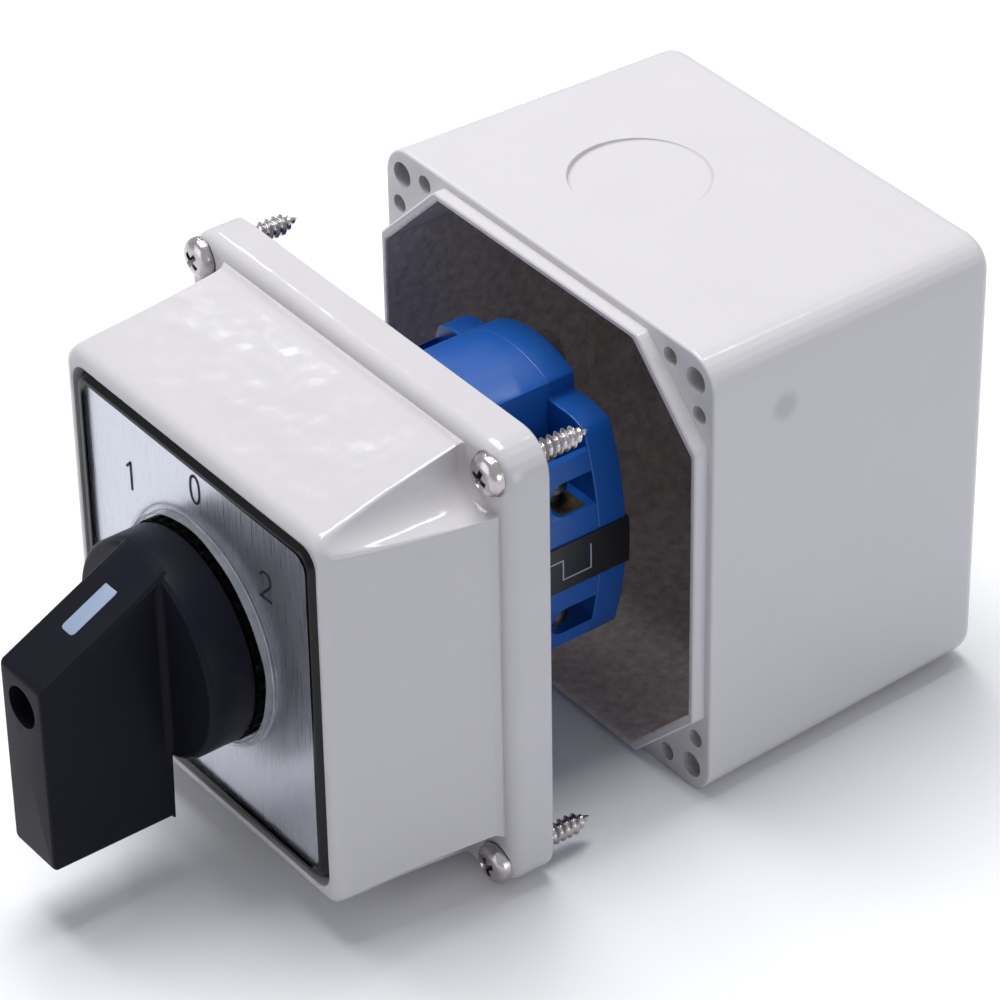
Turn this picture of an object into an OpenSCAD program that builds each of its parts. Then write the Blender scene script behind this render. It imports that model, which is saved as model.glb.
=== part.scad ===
// Rotary changeover switch, 1 - 0 - 2, in a moulded wall box.
// The frame: origin in the middle of the box's back face, X to the right, Y into the wall, Z up.
// The cover with the switch is drawn pulled straight off the box. Cover pieces are drawn in the
// cover's own frame, whose Y is zero at the cover's back plane, and on_cover() puts them in place.

/* [Box] */
// Width and height of the box
box_w = 90; // [88:1:100]
// Depth from the wall to the rim
box_d = 62; // [56:1:90]
// Draft of each side wall over that depth
box_draft = 1.3; // [0:0.1:1.8]
// Radius of the long corner edges
box_r = 6; // [4:0.5:8]
// Radius of the back edges
back_edge_r = 3; // [1:0.5:3.5]
// Thickness of the side walls
box_wall = 2.7; // [2.2:0.1:3]
// Thickness of the back wall
back_wall = 2.8; // [2:0.1:4]
// Leg of the solid corner posts, seen from the front
post_leg = 15.6; // [15:0.1:17]
// Height of the tongue round the opening
tongue_h = 2.6; // [1.5:0.1:2.8]
// Thickness of the tongue
tongue_t = 1.2; // [1:0.1:1.4]
// Distance of the cover screws from the box's left and right faces
screw_inset_x = 4.75; // [4.6:0.05:5.2]
// Distance of the cover screws from the box's top and bottom faces
screw_inset_z = 5; // [4.6:0.05:5.4]
// Bore of the screw holes in the corner posts
post_bore = 4.8; // [4.6:0.1:5]
// Depth of the screw holes in the corner posts
post_bore_d = 16; // [12:1:24]
// Bore of the two coring holes beside each screw hole
core_bore = 3.4; // [2.5:0.1:3.6]
// Depth of the coring holes
core_d = 8; // [4:1:20]
// Distance of a coring hole from its nearest face
core_edge = 3.75; // [3.5:0.05:4.2]
// Distance of a coring hole from the next face round the corner
core_along = 11.35; // [11:0.05:12]
// Distance of the wall screw holes from the box's sides
wall_inset = 15; // [12:1:20]
// Bore of the wall screw holes
wall_bore = 4.5; // [4:0.1:5.5]
// Diameter of the knock-outs, top and bottom
knock_dia = 25.4; // [20:0.1:28]
// Depth of the knock-out's ring step
knock_d = 0.6; // [0.3:0.1:1]
// Place of the knock-outs across the box
knock_x = -8.8; // [-12:0.1:12]
// Distance of the knock-outs from the wall
knock_y = 34.3; // [25:0.1:36]

/* [Cover] */
// How far the cover is pulled off the box
pull_out = 33.3; // [20:0.1:45]
// Height of the cover from its back plane to its face
cover_h = 39.1; // [36:0.1:44]
// Thickness of the flange
flange_t = 8.6; // [7:0.1:10]
// Radius of the flange's corners
flange_r = 7; // [6:0.1:7.5]
// Radius of the flange's front edge
flange_edge_r = 2.5; // [1:0.1:3]
// Width of the ledge round the raised front
foot_ledge = 2.5; // [2:0.1:3.5]
// Width of the raised front at its face
face_w = 74.6; // [73:0.1:76]
// Radius of the raised front's long edges
face_r = 4; // [3:0.1:5]
// Radius round the face
face_edge_r = 2.2; // [1:0.1:2.4]
// Radius of the scoops round the cover screws
scoop_r = 6.5; // [5.5:0.1:7]
// Wall of the cover
cover_wall = 2.5; // [2:0.1:3]
// Depth of the recess for the dial
recess_d = 3.5; // [3:0.1:4]
// Depth of the groove for the tongue
groove_d = 3.4; // [3.4:0.1:4]

/* [Cover screws] */
// Diameter of the pan heads
pan_dia = 7.4; // [6.5:0.1:7.6]
// Height of the pan heads
pan_h = 2.7; // [2:0.1:3]
// Outside diameter of the thread
thread_dia = 3.9; // [3.5:0.1:4]
// Diameter of the core
thread_core = 2.9; // [2.5:0.1:3.1]
// Pitch of the thread
thread_pitch = 1.4; // [1.2:0.1:1.8]
// Length under the head
screw_l = 19.2; // [16:0.1:22]

/* [Dial] */
// Width and height of the dial plate
plate_w = 64; // [60:0.5:64.5]
// Corner radius of the dial plate
plate_r = 2.9; // [1:0.1:4]
// Thickness of the dial plate
plate_t = 0.7; // [0.5:0.1:1]
// Border of the frame round the plate
frame_border = 2.1; // [1.5:0.1:2.1]
// Height of the frame
frame_t = 3.7; // [3.6:0.1:4.2]
// Thickness of the frame under the plate
frame_floor = 2.1; // [2:0.1:2.2]
// Thickness of the clear sheet
sheet_t = 0.45; // [0.3:0.05:0.5]
// Radius of the hole in the clear sheet
sheet_hole_r = 21; // [20.6:0.1:22.4]
// Height of the lip round that hole
sheet_lip_h = 1.3; // [0.5:0.1:1.5]
// Height of the numbers
digit_h = 6; // [5:0.1:7]
// Radius that the numbers stand on
digit_ring_r = 27.5; // [27:0.1:28]
// Angle between two switch positions
throw_deg = 45; // [45]
// Radius of the toothed ring under the handle
ring_r = 19.8; // [19.2:0.1:20.2]
// Thickness of the toothed ring
ring_t = 2.7; // [2:0.1:3.2]
// Number of notches round the ring
ring_notches = 36; // [24:4:48]

/* [Handle] */
// Radius of the disc
disc_r = 19.6; // [19:0.1:20.2]
// Thickness of the disc
disc_t = 8.6; // [7:0.1:10]
// Thickness of the blade
blade_t = 12.3; // [11:0.1:14]
// How far the blade stands out of the disc
blade_l = 24; // [18:0.1:30]
// Reach of the blade below the axis
blade_down = 31; // [26:0.1:34]
// Height of the blade's top at its outer end
blade_tip_up = 6.2; // [5.5:0.1:8]
// Height of the blade's top at the disc
blade_root_up = 18.7; // [16:0.1:19]
// Bore of the screw pocket in the blade's outer end
pocket_dia = 7.7; // [7.5:0.1:8]
// Depth of the screw pocket
pocket_d = 12; // [8:0.1:14]
// Length of the pointer insert
pointer_l = 12; // [8:0.1:14]
// Width of the pointer insert
pointer_w = 3.2; // [2:0.1:4]

/* [Switch] */
// Half width of the blue body
body_half = 24.5; // [24.5:0.1:26]
// Radius of its bulged sides
bulge_r = 60; // [50:1:90]
// Thickness of the plate behind the cover
mount_t = 3.5; // [3.2:0.1:4.5]
// Length of the detent housing
detent_t = 15.1; // [15:0.1:18]
// Length of one contact stage
stage_t = 13.4; // [13.4:0.1:15]
// Thickness of the end plate
rear_t = 5.8; // [5:0.1:7]
// Width across the flats of the shaft
shaft_w = 7; // [6.5:0.1:7]
// Diameter over the shaft's turned corners
shaft_dia = 9.6; // [9.2:0.1:9.7]
// Mean radius of the cams
cam_r = 9; // [8.9:0.1:9.1]
// Travel of a contact from the middle position to either side
cam_lift = 1.3; // [1:0.05:1.3]
// Height of the stack's bolts above and below the axis
bolt_z = 24; // [23.5:0.1:24.5]
// Distance of the cover's mounting screws from the body's left and right sides
mount_inset = 7.5; // [7:0.1:8]

/* [Hidden] */
$fn = 64;

// One overrun serves all cuts, one sliver all slices of a hull
overrun = 1;
sliver = 0.01;
edge_steps = 4;
// Clearances: between bodies, within a body, running fits, the tongue in its groove
slide_gap = 0.3;
slip = 0.05;
run_gap = 0.05;
tongue_gap = 0.35;

// Places of the cover's pieces along Y, in the cover's frame
recess_y = -cover_h + recess_d;
cover_in_y = recess_y + cover_wall;
plate_y = recess_y - frame_floor;
plate_front_y = plate_y - plate_t;
print_t = 0.12;
sheet_back_y = plate_front_y - print_t - slip;
sheet_front_y = sheet_back_y - sheet_t;
ring_front_y = plate_front_y - ring_t;
disc_y = ring_front_y - slide_gap;
disc_front_y = disc_y - disc_t;
blade_y = disc_front_y - blade_l;
detent_y = cover_in_y + mount_t;
stack_y = detent_y + detent_t;
rear_y = stack_y + 3 * stage_t;
end_y = rear_y + rear_t;

// Box and cover, across
wall_hole_at = box_w / 2 - wall_inset;
foot_w = box_w - 2 * foot_ledge;
cavity_half = box_w / 2 - box_wall;
cavity_cut = 2 * cavity_half - post_leg;
tongue_half = cavity_half + tongue_t;
tongue_cut = 2 * tongue_half - post_leg;
screw_px = box_w / 2 - screw_inset_x;
screw_pz = box_w / 2 - screw_inset_z;
boss_r = pan_dia / 2 + slide_gap;
spot_d = slide_gap;
gasket_t = 0.6;
// Profile of a pan head, as shares of its radius and its height
pan_shares = [[0, 1], [0.5, 0.93], [0.84, 0.6], [1, 0.25], [1, 0]];
rib_t = 1.5;
rib_h = 1;
rib_l = 18;
rib_y = 20;
rib_z = -15;
cover_leg = 12;
cover_cut = 2 * inner_half(-flange_t) - cover_leg;
ceiling_leg = 3.65;
ceiling_cut = 2 * inner_half(cover_in_y) - ceiling_leg;

// Dial
recess_gap = 0.5;
frame_half = plate_w / 2 + slip + frame_border;
recess_half = frame_half + recess_gap;
frame_chamfer = 1;
sheet_inset = 0.2;
sheet_lip_t = 1;
digit_w = 3.4;
digit_stroke = 0.75;
one_shares = [[-0.1, 0], [-0.1, 0.8], [-0.4, 0.72], [-0.4, 0.84], [0.02, 1], [0.12, 1], [0.12, 0]];
hook_shares = [[-1, 0.8], [0, 1.1], [1, 1.6]];
two_shares = [[-0.5, 0], [0.5, 0], [0.5, 0.12], [-0.22, 0.12], [0.48, 0.62], [0.26, 0.68], [-0.5, 0.14]];
ring_tooth = 0.7;
ring_bore_r = 9.5;
ring_hub_r = 11.9;
plate_bore_r = ring_hub_r + slide_gap;
neck_r = 9;
neck_l = 6.9;
cover_bore_r = neck_r + slide_gap;
mount_screw_r = 1.75;
mount_head_r = 3.3;
mount_head_t = 1.9;
mount_tip_l = 2.9;
frame_hole_r = 4;
cross_w = 0.9;
cross_d = 1.1;

// Handle
disc_edge = 1.2;
hollow_in_r = 11;
hollow_out_r = 17.8;
hollow_d = 5;
blade_edge = 0.7;
socket_floor = 4;
pocket_r = pocket_dia / 2;
knob_screw_r = 2;
knob_head_r = 3.5;
knob_head_t = 2.5;
knob_screw_l = 12;
pointer_t = 0.6;
pointer_from = 4.2;
slope_deg = atan2(blade_root_up - blade_tip_up, blade_l);

// Switch body
body_half_z = 23.5;
mount_inset_z = 6.5;
mount_x = body_half - mount_inset;
mount_z = body_half_z - mount_inset_z;
corner_leg_x = 9;
corner_leg_z = 6.9;
block_half = 10.5;
block_up = 29.4;
block_dome_r = 21.8;
shoulder_r = 9;
bearing_r = shaft_dia / 2 + run_gap;
hub_r = 6;
hub_bore_r = hub_r + run_gap;
partition_t = 1.6;
cam_gap = 0.9;
cam_t = 7;
cam_step_deg = 5;
cam_high = cam_r + cam_lift;
cam_low = cam_r - cam_lift;
cam_cavity_r = cam_high + cam_gap;
contact_v = 8.1;
chamber_over = 3.55;
chamber_v = contact_v + chamber_over;
follower_t = 6;
follower_half = 2.6;
follower_taper = 2.5;
follower_tail = 1.4;
tip_r = 1.2;
tip_gap = 0.25;
// Rise of the cam per radian, and from it where the tip's centre stands in the middle position
cam_slope = cam_lift / (throw_deg * PI / 180);
tip_x = cam_r + (tip_r + tip_gap) / cos(atan2(cam_slope, cam_r));
strip_t = 1;
contact_t = 0.8;
contact_r = 1.5;
contact_z = 5.6;
contact_clear = 0.08;
contact_gap = cam_lift + contact_clear;
bridge_t = 1;
bridge_half = 7.6;
bridge_w = 4.4;
spring_l = 3.4;
spring_r = 2.3;
spring_wire = 0.6;
// Inwards from the body's side: the chamber's wall, the spring, the bridge and the fixed strip
side_wall = 2.12;
chamber_x = body_half - side_wall;
follower_end = chamber_x - spring_l;
bridge_x = follower_end - follower_tail - bridge_t;
strip_x = bridge_x - 2 * contact_t - contact_gap - strip_t;
guide_t = 1;
strip_w = 5;
strip_z = 4;
leg_w = 7;
leg_z = 8.6;
leg_out_z = leg_z + strip_t;
leg_inset = 1.5;
leg_end = body_half - leg_inset;
clamp_inset = 7;
clamp_x = body_half - clamp_inset;
clamp_w = 8;
clamp_h = 6;
mouth_l = 10.5;
clamp_mouth = body_half - mouth_l;
clamp_screw_r = 1.75;
clamp_head_r = 3;
clamp_head_z = 13;
clamp_head_t = 2.4;
clamp_tip_z = 8;
well_out = clamp_x + 3.2;
well_wall = 1.2;
washer_t = 1;
washer_r = 3.1;
slot_w = 0.8;

// Detent
tray_wall = 2;
tray_half = 15.95;
tray_half_z = 17;
star_r = 12.1;
star_depth = 0.9;
star_t = 6;
star_gap = 2.1;
star_y = detent_y + star_gap;
star_points = 8;
lug_r = 16;
lug_t = 3;
lug_deg = 12;
stop_slack_deg = 0.6;
stop_deg = lug_deg + throw_deg + stop_slack_deg;
stop_span = 14.4;
stop_in_r = 10;
stop_gap = slide_gap;
leaf_t = 0.8;
leaf_w = 5;
leaf_l = 12.5;
leaf_nose_half = 4;
leaf_nose_x = star_r - star_depth + slide_gap;

// Stack's bolts, and the band with the wiring diagram
bolt_r = 2;
bolt_hole_r = 2.2;
bolt_head_r = 3.5;
bolt_head_t = 2;
bolt_sink = 0.3;
bolt_over = 1.5;
nut_af = 7;
nut_t = 3.2;
band_t = 0.4;
band_half = 4.6;
band_in = 14;

// Colours
box_colour = [0.80, 0.79, 0.79];
black = [0.06, 0.06, 0.065];
blue = [0.03, 0.16, 0.55];
steel = [0.72, 0.71, 0.70];
brass = [0.80, 0.62, 0.30];
white = [0.90, 0.90, 0.88];

// Sketch in X and Z, extruded from y0 to y1
module slab(y0, y1) {
    translate([0, y1, 0]) rotate([90, 0, 0]) linear_extrude(y1 - y0) children();
}

// Sketch in Y and Z, extruded from x0 to x1
module plank(x0, x1) {
    translate([x0, 0, 0]) rotate([90, 0, 90]) linear_extrude(x1 - x0) children();
}

// Round bar along Y
module rod(r, y0, y1) {
    translate([0, y0, 0]) rotate([-90, 0, 0]) cylinder(r = r, h = y1 - y0);
}

// Round bar along Z
module post(r, z0, z1) {
    translate([0, 0, z0]) cylinder(r = r, h = z1 - z0);
}

// Profile of radius and Y, turned round the Y axis
module turned() {
    rotate([-90, 0, 0]) rotate_extrude() children();
}

module at(x, z) {
    translate([x, 0, z]) children();
}

// One copy in each corner
module corners(x, z) {
    for (sx = [-1, 1], sz = [-1, 1]) at(sx * x, sz * z) children();
}

// Square of a half width with round corners
module rounded(half, r) {
    rounded_box(half, half, r);
}

// Rectangle of two half widths with round corners
module rounded_box(half_x, half_y, r) {
    square([2 * half_x, 2 * (half_y - r)], center = true);
    square([2 * (half_x - r), 2 * half_y], center = true);
    for (sx = [-1, 1], sy = [-1, 1]) translate([sx * (half_x - r), sy * (half_y - r)]) circle(r);
}

// Octagon: a square of a half width whose corners are cut where x + z reaches cut
module octagon(half, cut) {
    far = cut - half;
    polygon([[half, -far], [half, far], [far, half], [-far, half],
        [-half, far], [-half, -far], [-far, -half], [far, -half]]);
}

// Drafted block from y0 back to y1, half0 and half1 wide, with a rounded edge round its y0 end
module pillow(y0, y1, half0, half1, r, edge_r) {
    hull() {
        for (i = [0 : edge_steps]) {
            a = 90 * i / edge_steps;
            y = y0 + edge_r * (1 - cos(a));
            inset = edge_r * (1 - sin(a));
            half = half0 + (half1 - half0) * (y - y0) / (y1 - y0) - inset;
            slab(y, y + sliver) rounded(half, r - inset, $fn = 32);
        }
        slab(y1 - sliver, y1) rounded(half1, r, $fn = 32);
    }
}

// Recess of a cross-slotted head, sunk from y into the head
module cross_slot(y, size) {
    for (a = [45, 135]) rotate([0, a, 0])
        slab(y - overrun, y + cross_d) square([size, cross_w], center = true);
}

module on_cover() {
    translate([0, -box_d - pull_out, 0]) children();
}

module enclosure_box() {
    back_half = box_w / 2 - box_draft;
    draft_deg = atan2(box_draft, box_d);
    color(box_colour) difference() {
        union() {
            mirror([0, 1, 0]) pillow(0, box_d, back_half, box_w / 2, box_r, back_edge_r);
            slab(-box_d - tongue_h, -box_d + back_wall) octagon(tongue_half, tongue_cut);
        }
        hull() {
            slab(-back_wall - sliver, -back_wall)
                octagon(cavity_half - box_draft, cavity_cut - 2 * box_draft);
            slab(-box_d, -box_d + sliver) octagon(cavity_half, cavity_cut);
            slab(-box_d - tongue_h - overrun, -box_d) octagon(cavity_half, cavity_cut);
        }
        corners(screw_px, screw_pz) rod(post_bore / 2, -box_d - overrun, -box_d + post_bore_d);
        corners(box_w / 2 - core_along, box_w / 2 - core_edge)
            rod(core_bore / 2, -box_d - overrun, -box_d + core_d);
        corners(box_w / 2 - core_edge, box_w / 2 - core_along)
            rod(core_bore / 2, -box_d - overrun, -box_d + core_d);
        corners(wall_hole_at, wall_hole_at) rod(wall_bore / 2, -back_wall - overrun, overrun);
        for (sz = [-1, 1]) mirror([0, 0, sz < 0 ? 1 : 0])
            translate([knock_x, -knock_y, back_half + box_draft * knock_y / box_d - knock_d])
                rotate([-draft_deg, 0, 0]) cylinder(d = knock_dia, h = knock_d + overrun);
    }
    color(box_colour) translate([-cavity_half, -rib_y - rib_t, rib_z - rib_l / 2])
        cube([rib_h + box_draft, rib_t, rib_l]);
}

module cover() {
    color(box_colour) difference() {
        union() {
            pillow(-flange_t, 0, box_w / 2, box_w / 2, flange_r, flange_edge_r);
            difference() {
                pillow(-cover_h, -flange_t + flange_edge_r, face_w / 2, foot_w / 2, face_r, face_edge_r);
                corners(screw_px, screw_pz) rod(scoop_r, -cover_h - overrun, -flange_t);
            }
            intersection() {
                slab(-flange_t + spot_d, -flange_t + flange_edge_r) rounded(box_w / 2, flange_r);
                corners(screw_px, screw_pz) rod(boss_r, -flange_t, 0);
            }
        }
        slab(-cover_h - overrun, recess_y) rounded(recess_half, plate_r + recess_gap);
        hull() {
            slab(cover_in_y, cover_in_y + sliver)
                octagon(inner_half(cover_in_y), ceiling_cut);
            slab(-flange_t, 0) octagon(inner_half(-flange_t), cover_cut);
        }
        slab(-overrun, overrun) octagon(inner_half(-flange_t), cover_cut);
        slab(-groove_d, overrun) difference() {
            octagon(tongue_half + tongue_gap, tongue_cut + tongue_gap);
            octagon(cavity_half - tongue_gap, cavity_cut - tongue_gap);
        }
        corners(screw_px, screw_pz) {
            rod(boss_r, -flange_t - overrun, -flange_t + spot_d);
            rod(thread_dia / 2 + slip, -flange_t - overrun, overrun);
        }
        rod(cover_bore_r, recess_y - overrun, cover_in_y + overrun);
        corners(mount_x, mount_z)
            rod(mount_screw_r + slip, recess_y - overrun, cover_in_y + overrun);
    }
}

// Half width of the cover's cavity at a place along Y
function inner_half(y) = face_w / 2 - cover_wall
    + (foot_w - face_w) / 2 * (y + cover_h) / (cover_h - flange_t);

module cover_gasket() {
    color(black) slab(-groove_d, -groove_d + gasket_t) difference() {
        octagon(tongue_half + tongue_gap - slip, tongue_cut + tongue_gap - slip);
        octagon(cavity_half - tongue_gap + slip, cavity_cut - tongue_gap + slip);
    }
}

// Pan-head self-tapping screw whose thread is drawn as rings
module tapping_screw() {
    y0 = -flange_t + spot_d;
    tip_l = 2 * thread_pitch;
    turns = floor((screw_l - tip_l - thread_pitch) / thread_pitch);
    core = thread_core / 2;
    difference() {
        turned() polygon(concat(
            [for (p = pan_shares) [p[0] * pan_dia / 2, y0 - p[1] * pan_h]], [[core, y0]],
            [for (i = [0 : turns - 1], k = [0 : 2])
                [core + (k == 1 ? thread_dia / 2 - core : 0),
                 y0 + thread_pitch * (1 + i + k / 3)]],
            [[core, y0 + screw_l - tip_l], [0, y0 + screw_l]]));
        cross_slot(y0 - pan_h, pan_dia / 2);
    }
}

module cover_screws() {
    color(steel) corners(screw_px, screw_pz) tapping_screw();
}

module dial_frame() {
    front = recess_y - frame_t;
    color(black) difference() {
        hull() {
            slab(front, front + sliver) rounded(frame_half - frame_chamfer, plate_r, $fn = 32);
            slab(front + frame_chamfer, recess_y) rounded(frame_half, plate_r + frame_chamfer, $fn = 32);
        }
        slab(front - overrun, plate_y) rounded(plate_w / 2 + slip, plate_r + slip);
        rod(plate_bore_r, front - overrun, recess_y + overrun);
        corners(mount_x, mount_z) rod(frame_hole_r, front - overrun, recess_y + overrun);
    }
}

module label_plate() {
    color(steel) slab(plate_front_y, plate_y) difference() {
        rounded(plate_w / 2, plate_r);
        circle(plate_bore_r);
    }
}

module digit_one() {
    polygon([for (p = one_shares) [p[0] * digit_w, p[1] * digit_h]]);
}

module digit_zero() {
    r = digit_w / 2;
    reach = digit_h / 2 - r;
    difference() {
        translate([0, digit_h / 2]) long_round(r, reach);
        translate([0, digit_h / 2]) long_round(r - digit_stroke, reach);
    }
}

// Upright slot shape of a radius, its end centres a reach above and below the middle
module long_round(r, reach) {
    square([2 * r, 2 * reach], center = true);
    for (s = [-1, 1]) translate([0, s * reach]) circle(r);
}

module digit_two() {
    r = digit_w / 2;
    union() {
        difference() {
            translate([0, digit_h - r]) circle(r);
            translate([0, digit_h - r]) circle(r - digit_stroke);
            polygon(concat([for (p = hook_shares) [p[0] * digit_w, digit_h - p[1] * r]],
                [[digit_w, 0], [-digit_w, 0]]));
        }
        polygon([for (p = two_shares) [p[0] * digit_w, p[1] * digit_h]]);
    }
}

module dial_numerals() {
    color(black) slab(plate_front_y - print_t, plate_front_y) for (i = [-1 : 1])
        translate([digit_ring_r * sin(i * throw_deg), digit_ring_r * cos(i * throw_deg) - digit_h / 2]) {
            if (i == -1) digit_one();
            if (i == 0) digit_zero();
            if (i == 1) digit_two();
        }
}

module label_window() {
    lip_y = sheet_front_y - sheet_lip_h;
    color(white, 0.35) difference() {
        union() {
            slab(sheet_front_y, sheet_back_y) rounded(plate_w / 2 - sheet_inset, plate_r);
            rod(sheet_hole_r + sheet_lip_t, lip_y, sheet_back_y);
        }
        rod(sheet_hole_r, lip_y - overrun, sheet_back_y + overrun);
    }
}

module collar_ring() {
    notch = 360 / ring_notches;
    color(black) difference() {
        union() {
            slab(ring_front_y, plate_front_y) polygon([for (i = [0 : ring_notches - 1], k = [0 : 3])
                (ring_r - (k < 2 ? 0 : ring_tooth))
                    * [cos(notch * (i + k / 4)), sin(notch * (i + k / 4))]]);
            rod(ring_hub_r, plate_front_y, recess_y);
        }
        rod(ring_bore_r, ring_front_y - overrun, recess_y + overrun);
    }
}

// Bulged sides of the blue body
module bulged_sides() {
    intersection() {
        translate([body_half - bulge_r, 0]) circle(bulge_r, $fn = 256);
        translate([bulge_r - body_half, 0]) circle(bulge_r, $fn = 256);
    }
}

// Domed block above, or with s = -1 below, the blue body
module block_sketch(s) {
    intersection() {
        translate([0, s * (block_up - block_dome_r)]) circle(block_dome_r, $fn = 128);
        translate([0, s * block_up / 2]) square([2 * block_half, block_up], center = true);
    }
}

// Outline of the blue body: bulged sides, cut corners and a block above and below
module body_sketch() {
    leg_at = body_half_z - corner_leg_z;
    intersection() {
        bulged_sides();
        polygon([for (q = [[1, 1], [-1, 1], [-1, -1], [1, -1]], k = [0 : 1])
            (k == 0) == (q[0] * q[1] > 0)
                ? [q[0] * body_half, q[1] * leg_at]
                : [q[0] * (body_half - corner_leg_x), q[1] * body_half_z]]);
    }
    for (s = [-1, 1]) block_sketch(s);
}

// Outline of the end plate: the body's, with two round shoulders above
module rear_sketch() {
    body_sketch();
    intersection() {
        bulged_sides();
        rounded_box(body_half, body_half_z, shoulder_r);
        translate([-body_half, 0]) square([2 * body_half, body_half_z]);
    }
}

module bolt_holes(y0, y1) {
    for (s = [-1, 1]) at(0, s * bolt_z) rod(bolt_hole_r, y0 - overrun, y1 + overrun);
}

module mounting_plate() {
    color(black) difference() {
        union() {
            slab(cover_in_y, detent_y) body_sketch();
            rod(neck_r, cover_in_y - neck_l, cover_in_y);
        }
        rod(bearing_r, cover_in_y - neck_l - overrun, detent_y + overrun);
        bolt_holes(cover_in_y, detent_y);
        for (s = [-1, 1]) at(0, s * bolt_z)
            rod(bolt_head_r + slip, cover_in_y - overrun, cover_in_y + bolt_sink + bolt_head_t);
        corners(mount_x, mount_z) rod(mount_screw_r + slip, cover_in_y - overrun, detent_y + overrun);
    }
}

module mounting_screws() {
    color(steel) corners(mount_x, mount_z) difference() {
        union() {
            rod(mount_head_r, recess_y - mount_head_t, recess_y);
            rod(mount_screw_r, recess_y, cover_in_y + mount_tip_l);
        }
        cross_slot(recess_y - mount_head_t, mount_head_r);
    }
}

// Wedge between two angles, counted from the top towards the right
module wedge(a0, a1, r) {
    polygon([[0, 0], r * [sin(a0), cos(a0)], r * [sin((a0 + a1) / 2), cos((a0 + a1) / 2)],
        r * [sin(a1), cos(a1)]]);
}

module detent_housing() {
    floor_y = stack_y - tray_wall;
    color(blue) difference() {
        slab(detent_y, stack_y) body_sketch();
        slab(detent_y - overrun, floor_y)
            square([2 * tray_half, 2 * tray_half_z], center = true);
        rod(hub_bore_r, floor_y - overrun, stack_y + overrun);
        bolt_holes(detent_y, stack_y);
    }
    color(blue) slab(star_y + star_t + stop_gap, floor_y) for (s = [0 : 1]) mirror([s, 0])
        intersection() {
            difference() {
                wedge(stop_deg, stop_deg + stop_span, 2 * tray_half);
                circle(stop_in_r);
            }
            square([2 * tray_half, 2 * tray_half_z], center = true);
        }
}

// Leaf spring on one side, its nose pointing at the axis
module leaf() {
    x = tray_half - leaf_t;
    half = [[x, leaf_l], [x, leaf_nose_half], [leaf_nose_x, 0]];
    slab(star_y + (star_t - leaf_w) / 2, star_y + (star_t + leaf_w) / 2)
        polygon(concat(half, [for (p = [half[1], half[0]]) [p[0], -p[1]]],
            [for (p = [half[0], half[1]]) [p[0] + leaf_t, -p[1]]],
            [for (p = [half[2], half[1], half[0]]) [p[0] + leaf_t, p[1]]]));
}

module detent_springs() {
    color(steel) {
        leaf();
        mirror([1, 0, 0]) leaf();
    }
}

module shaft_hole(y0, y1) {
    slab(y0 - overrun, y1 + overrun) square(shaft_w + 2 * slip, center = true);
}

module star_wheel() {
    steps = 12 * star_points;
    color(white) difference() {
        union() {
            slab(star_y, star_y + star_t) polygon([for (i = [0 : steps - 1])
                let (a = 360 * i / steps)
                    (star_r - star_depth * cos(star_points * a)) * [sin(a), cos(a)]]);
            slab(star_y + star_t, star_y + star_t + lug_t) intersection() {
                circle(lug_r);
                wedge(-lug_deg, lug_deg, 2 * lug_r);
            }
            rod(hub_r, star_y + star_t, stack_y - run_gap);
        }
        shaft_hole(star_y, stack_y);
    }
}

// Y of the front face of stage k
function stage_y(k) = stack_y + (k - 1) * stage_t;

// Middle plane of the contacts of stage k
function contact_y(k) = stage_y(k) + contact_v;

// Both sides of a stage, the left one mirrored
module both_sides() {
    for (s = [0 : 1]) mirror([s, 0, 0]) children();
}

// Upper and lower half of one side
module both_halves() {
    for (s = [0 : 1]) mirror([0, 0, s]) children();
}

// Hollow of one contact chamber, as a sketch
module chamber_sketch() {
    difference() {
        union() {
            translate([strip_x - slip, -leg_out_z])
                square([chamber_x - strip_x + slip, 2 * leg_out_z]);
            translate([0, -follower_half - slide_gap])
                square([chamber_x, 2 * (follower_half + slide_gap)]);
        }
        for (s = [-1, 1], r = [[strip_x - overrun, bridge_x - cam_lift - slide_gap],
                [bridge_x + bridge_t + cam_lift + slide_gap, chamber_x + overrun]])
            translate([r[0], s * (follower_half + slide_gap + guide_t / 2) - guide_t / 2])
                square([r[1] - r[0], guide_t]);
    }
}

// Wire mouth in Y and Z, round in front and open at the stage's rear
module mouth_sketch() {
    r = clamp_h / 2;
    translate([contact_v - clamp_w / 2 + r, leg_out_z - slip + r]) {
        circle(r);
        translate([0, -r]) square([stage_t, 2 * r]);
    }
}

// Hollow of one terminal: wire mouth, seat of the strip's end and well over the clamp screw
module terminal_hollow() {
    plank(clamp_mouth, body_half + overrun) mouth_sketch();
    translate([strip_x, contact_v - leg_w / 2 - slip, leg_z - slip])
        cube([leg_end + slip - strip_x, leg_w + 2 * slip, strip_t + 2 * slip]);
    translate([block_half, well_wall, leg_out_z + clamp_h / 2])
        cube([well_out - block_half, stage_t, body_half_z]);
}

module stage(k) {
    color(blue) translate([0, stage_y(k), 0]) difference() {
        slab(0, stage_t) body_sketch();
        rod(cam_cavity_r, -overrun, stage_t - partition_t);
        rod(hub_bore_r, 0, stage_t + overrun);
        bolt_holes(0, stage_t);
        both_sides() {
            slab(-overrun, chamber_v) chamber_sketch();
            both_halves() terminal_hollow();
        }
    }
}

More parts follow.
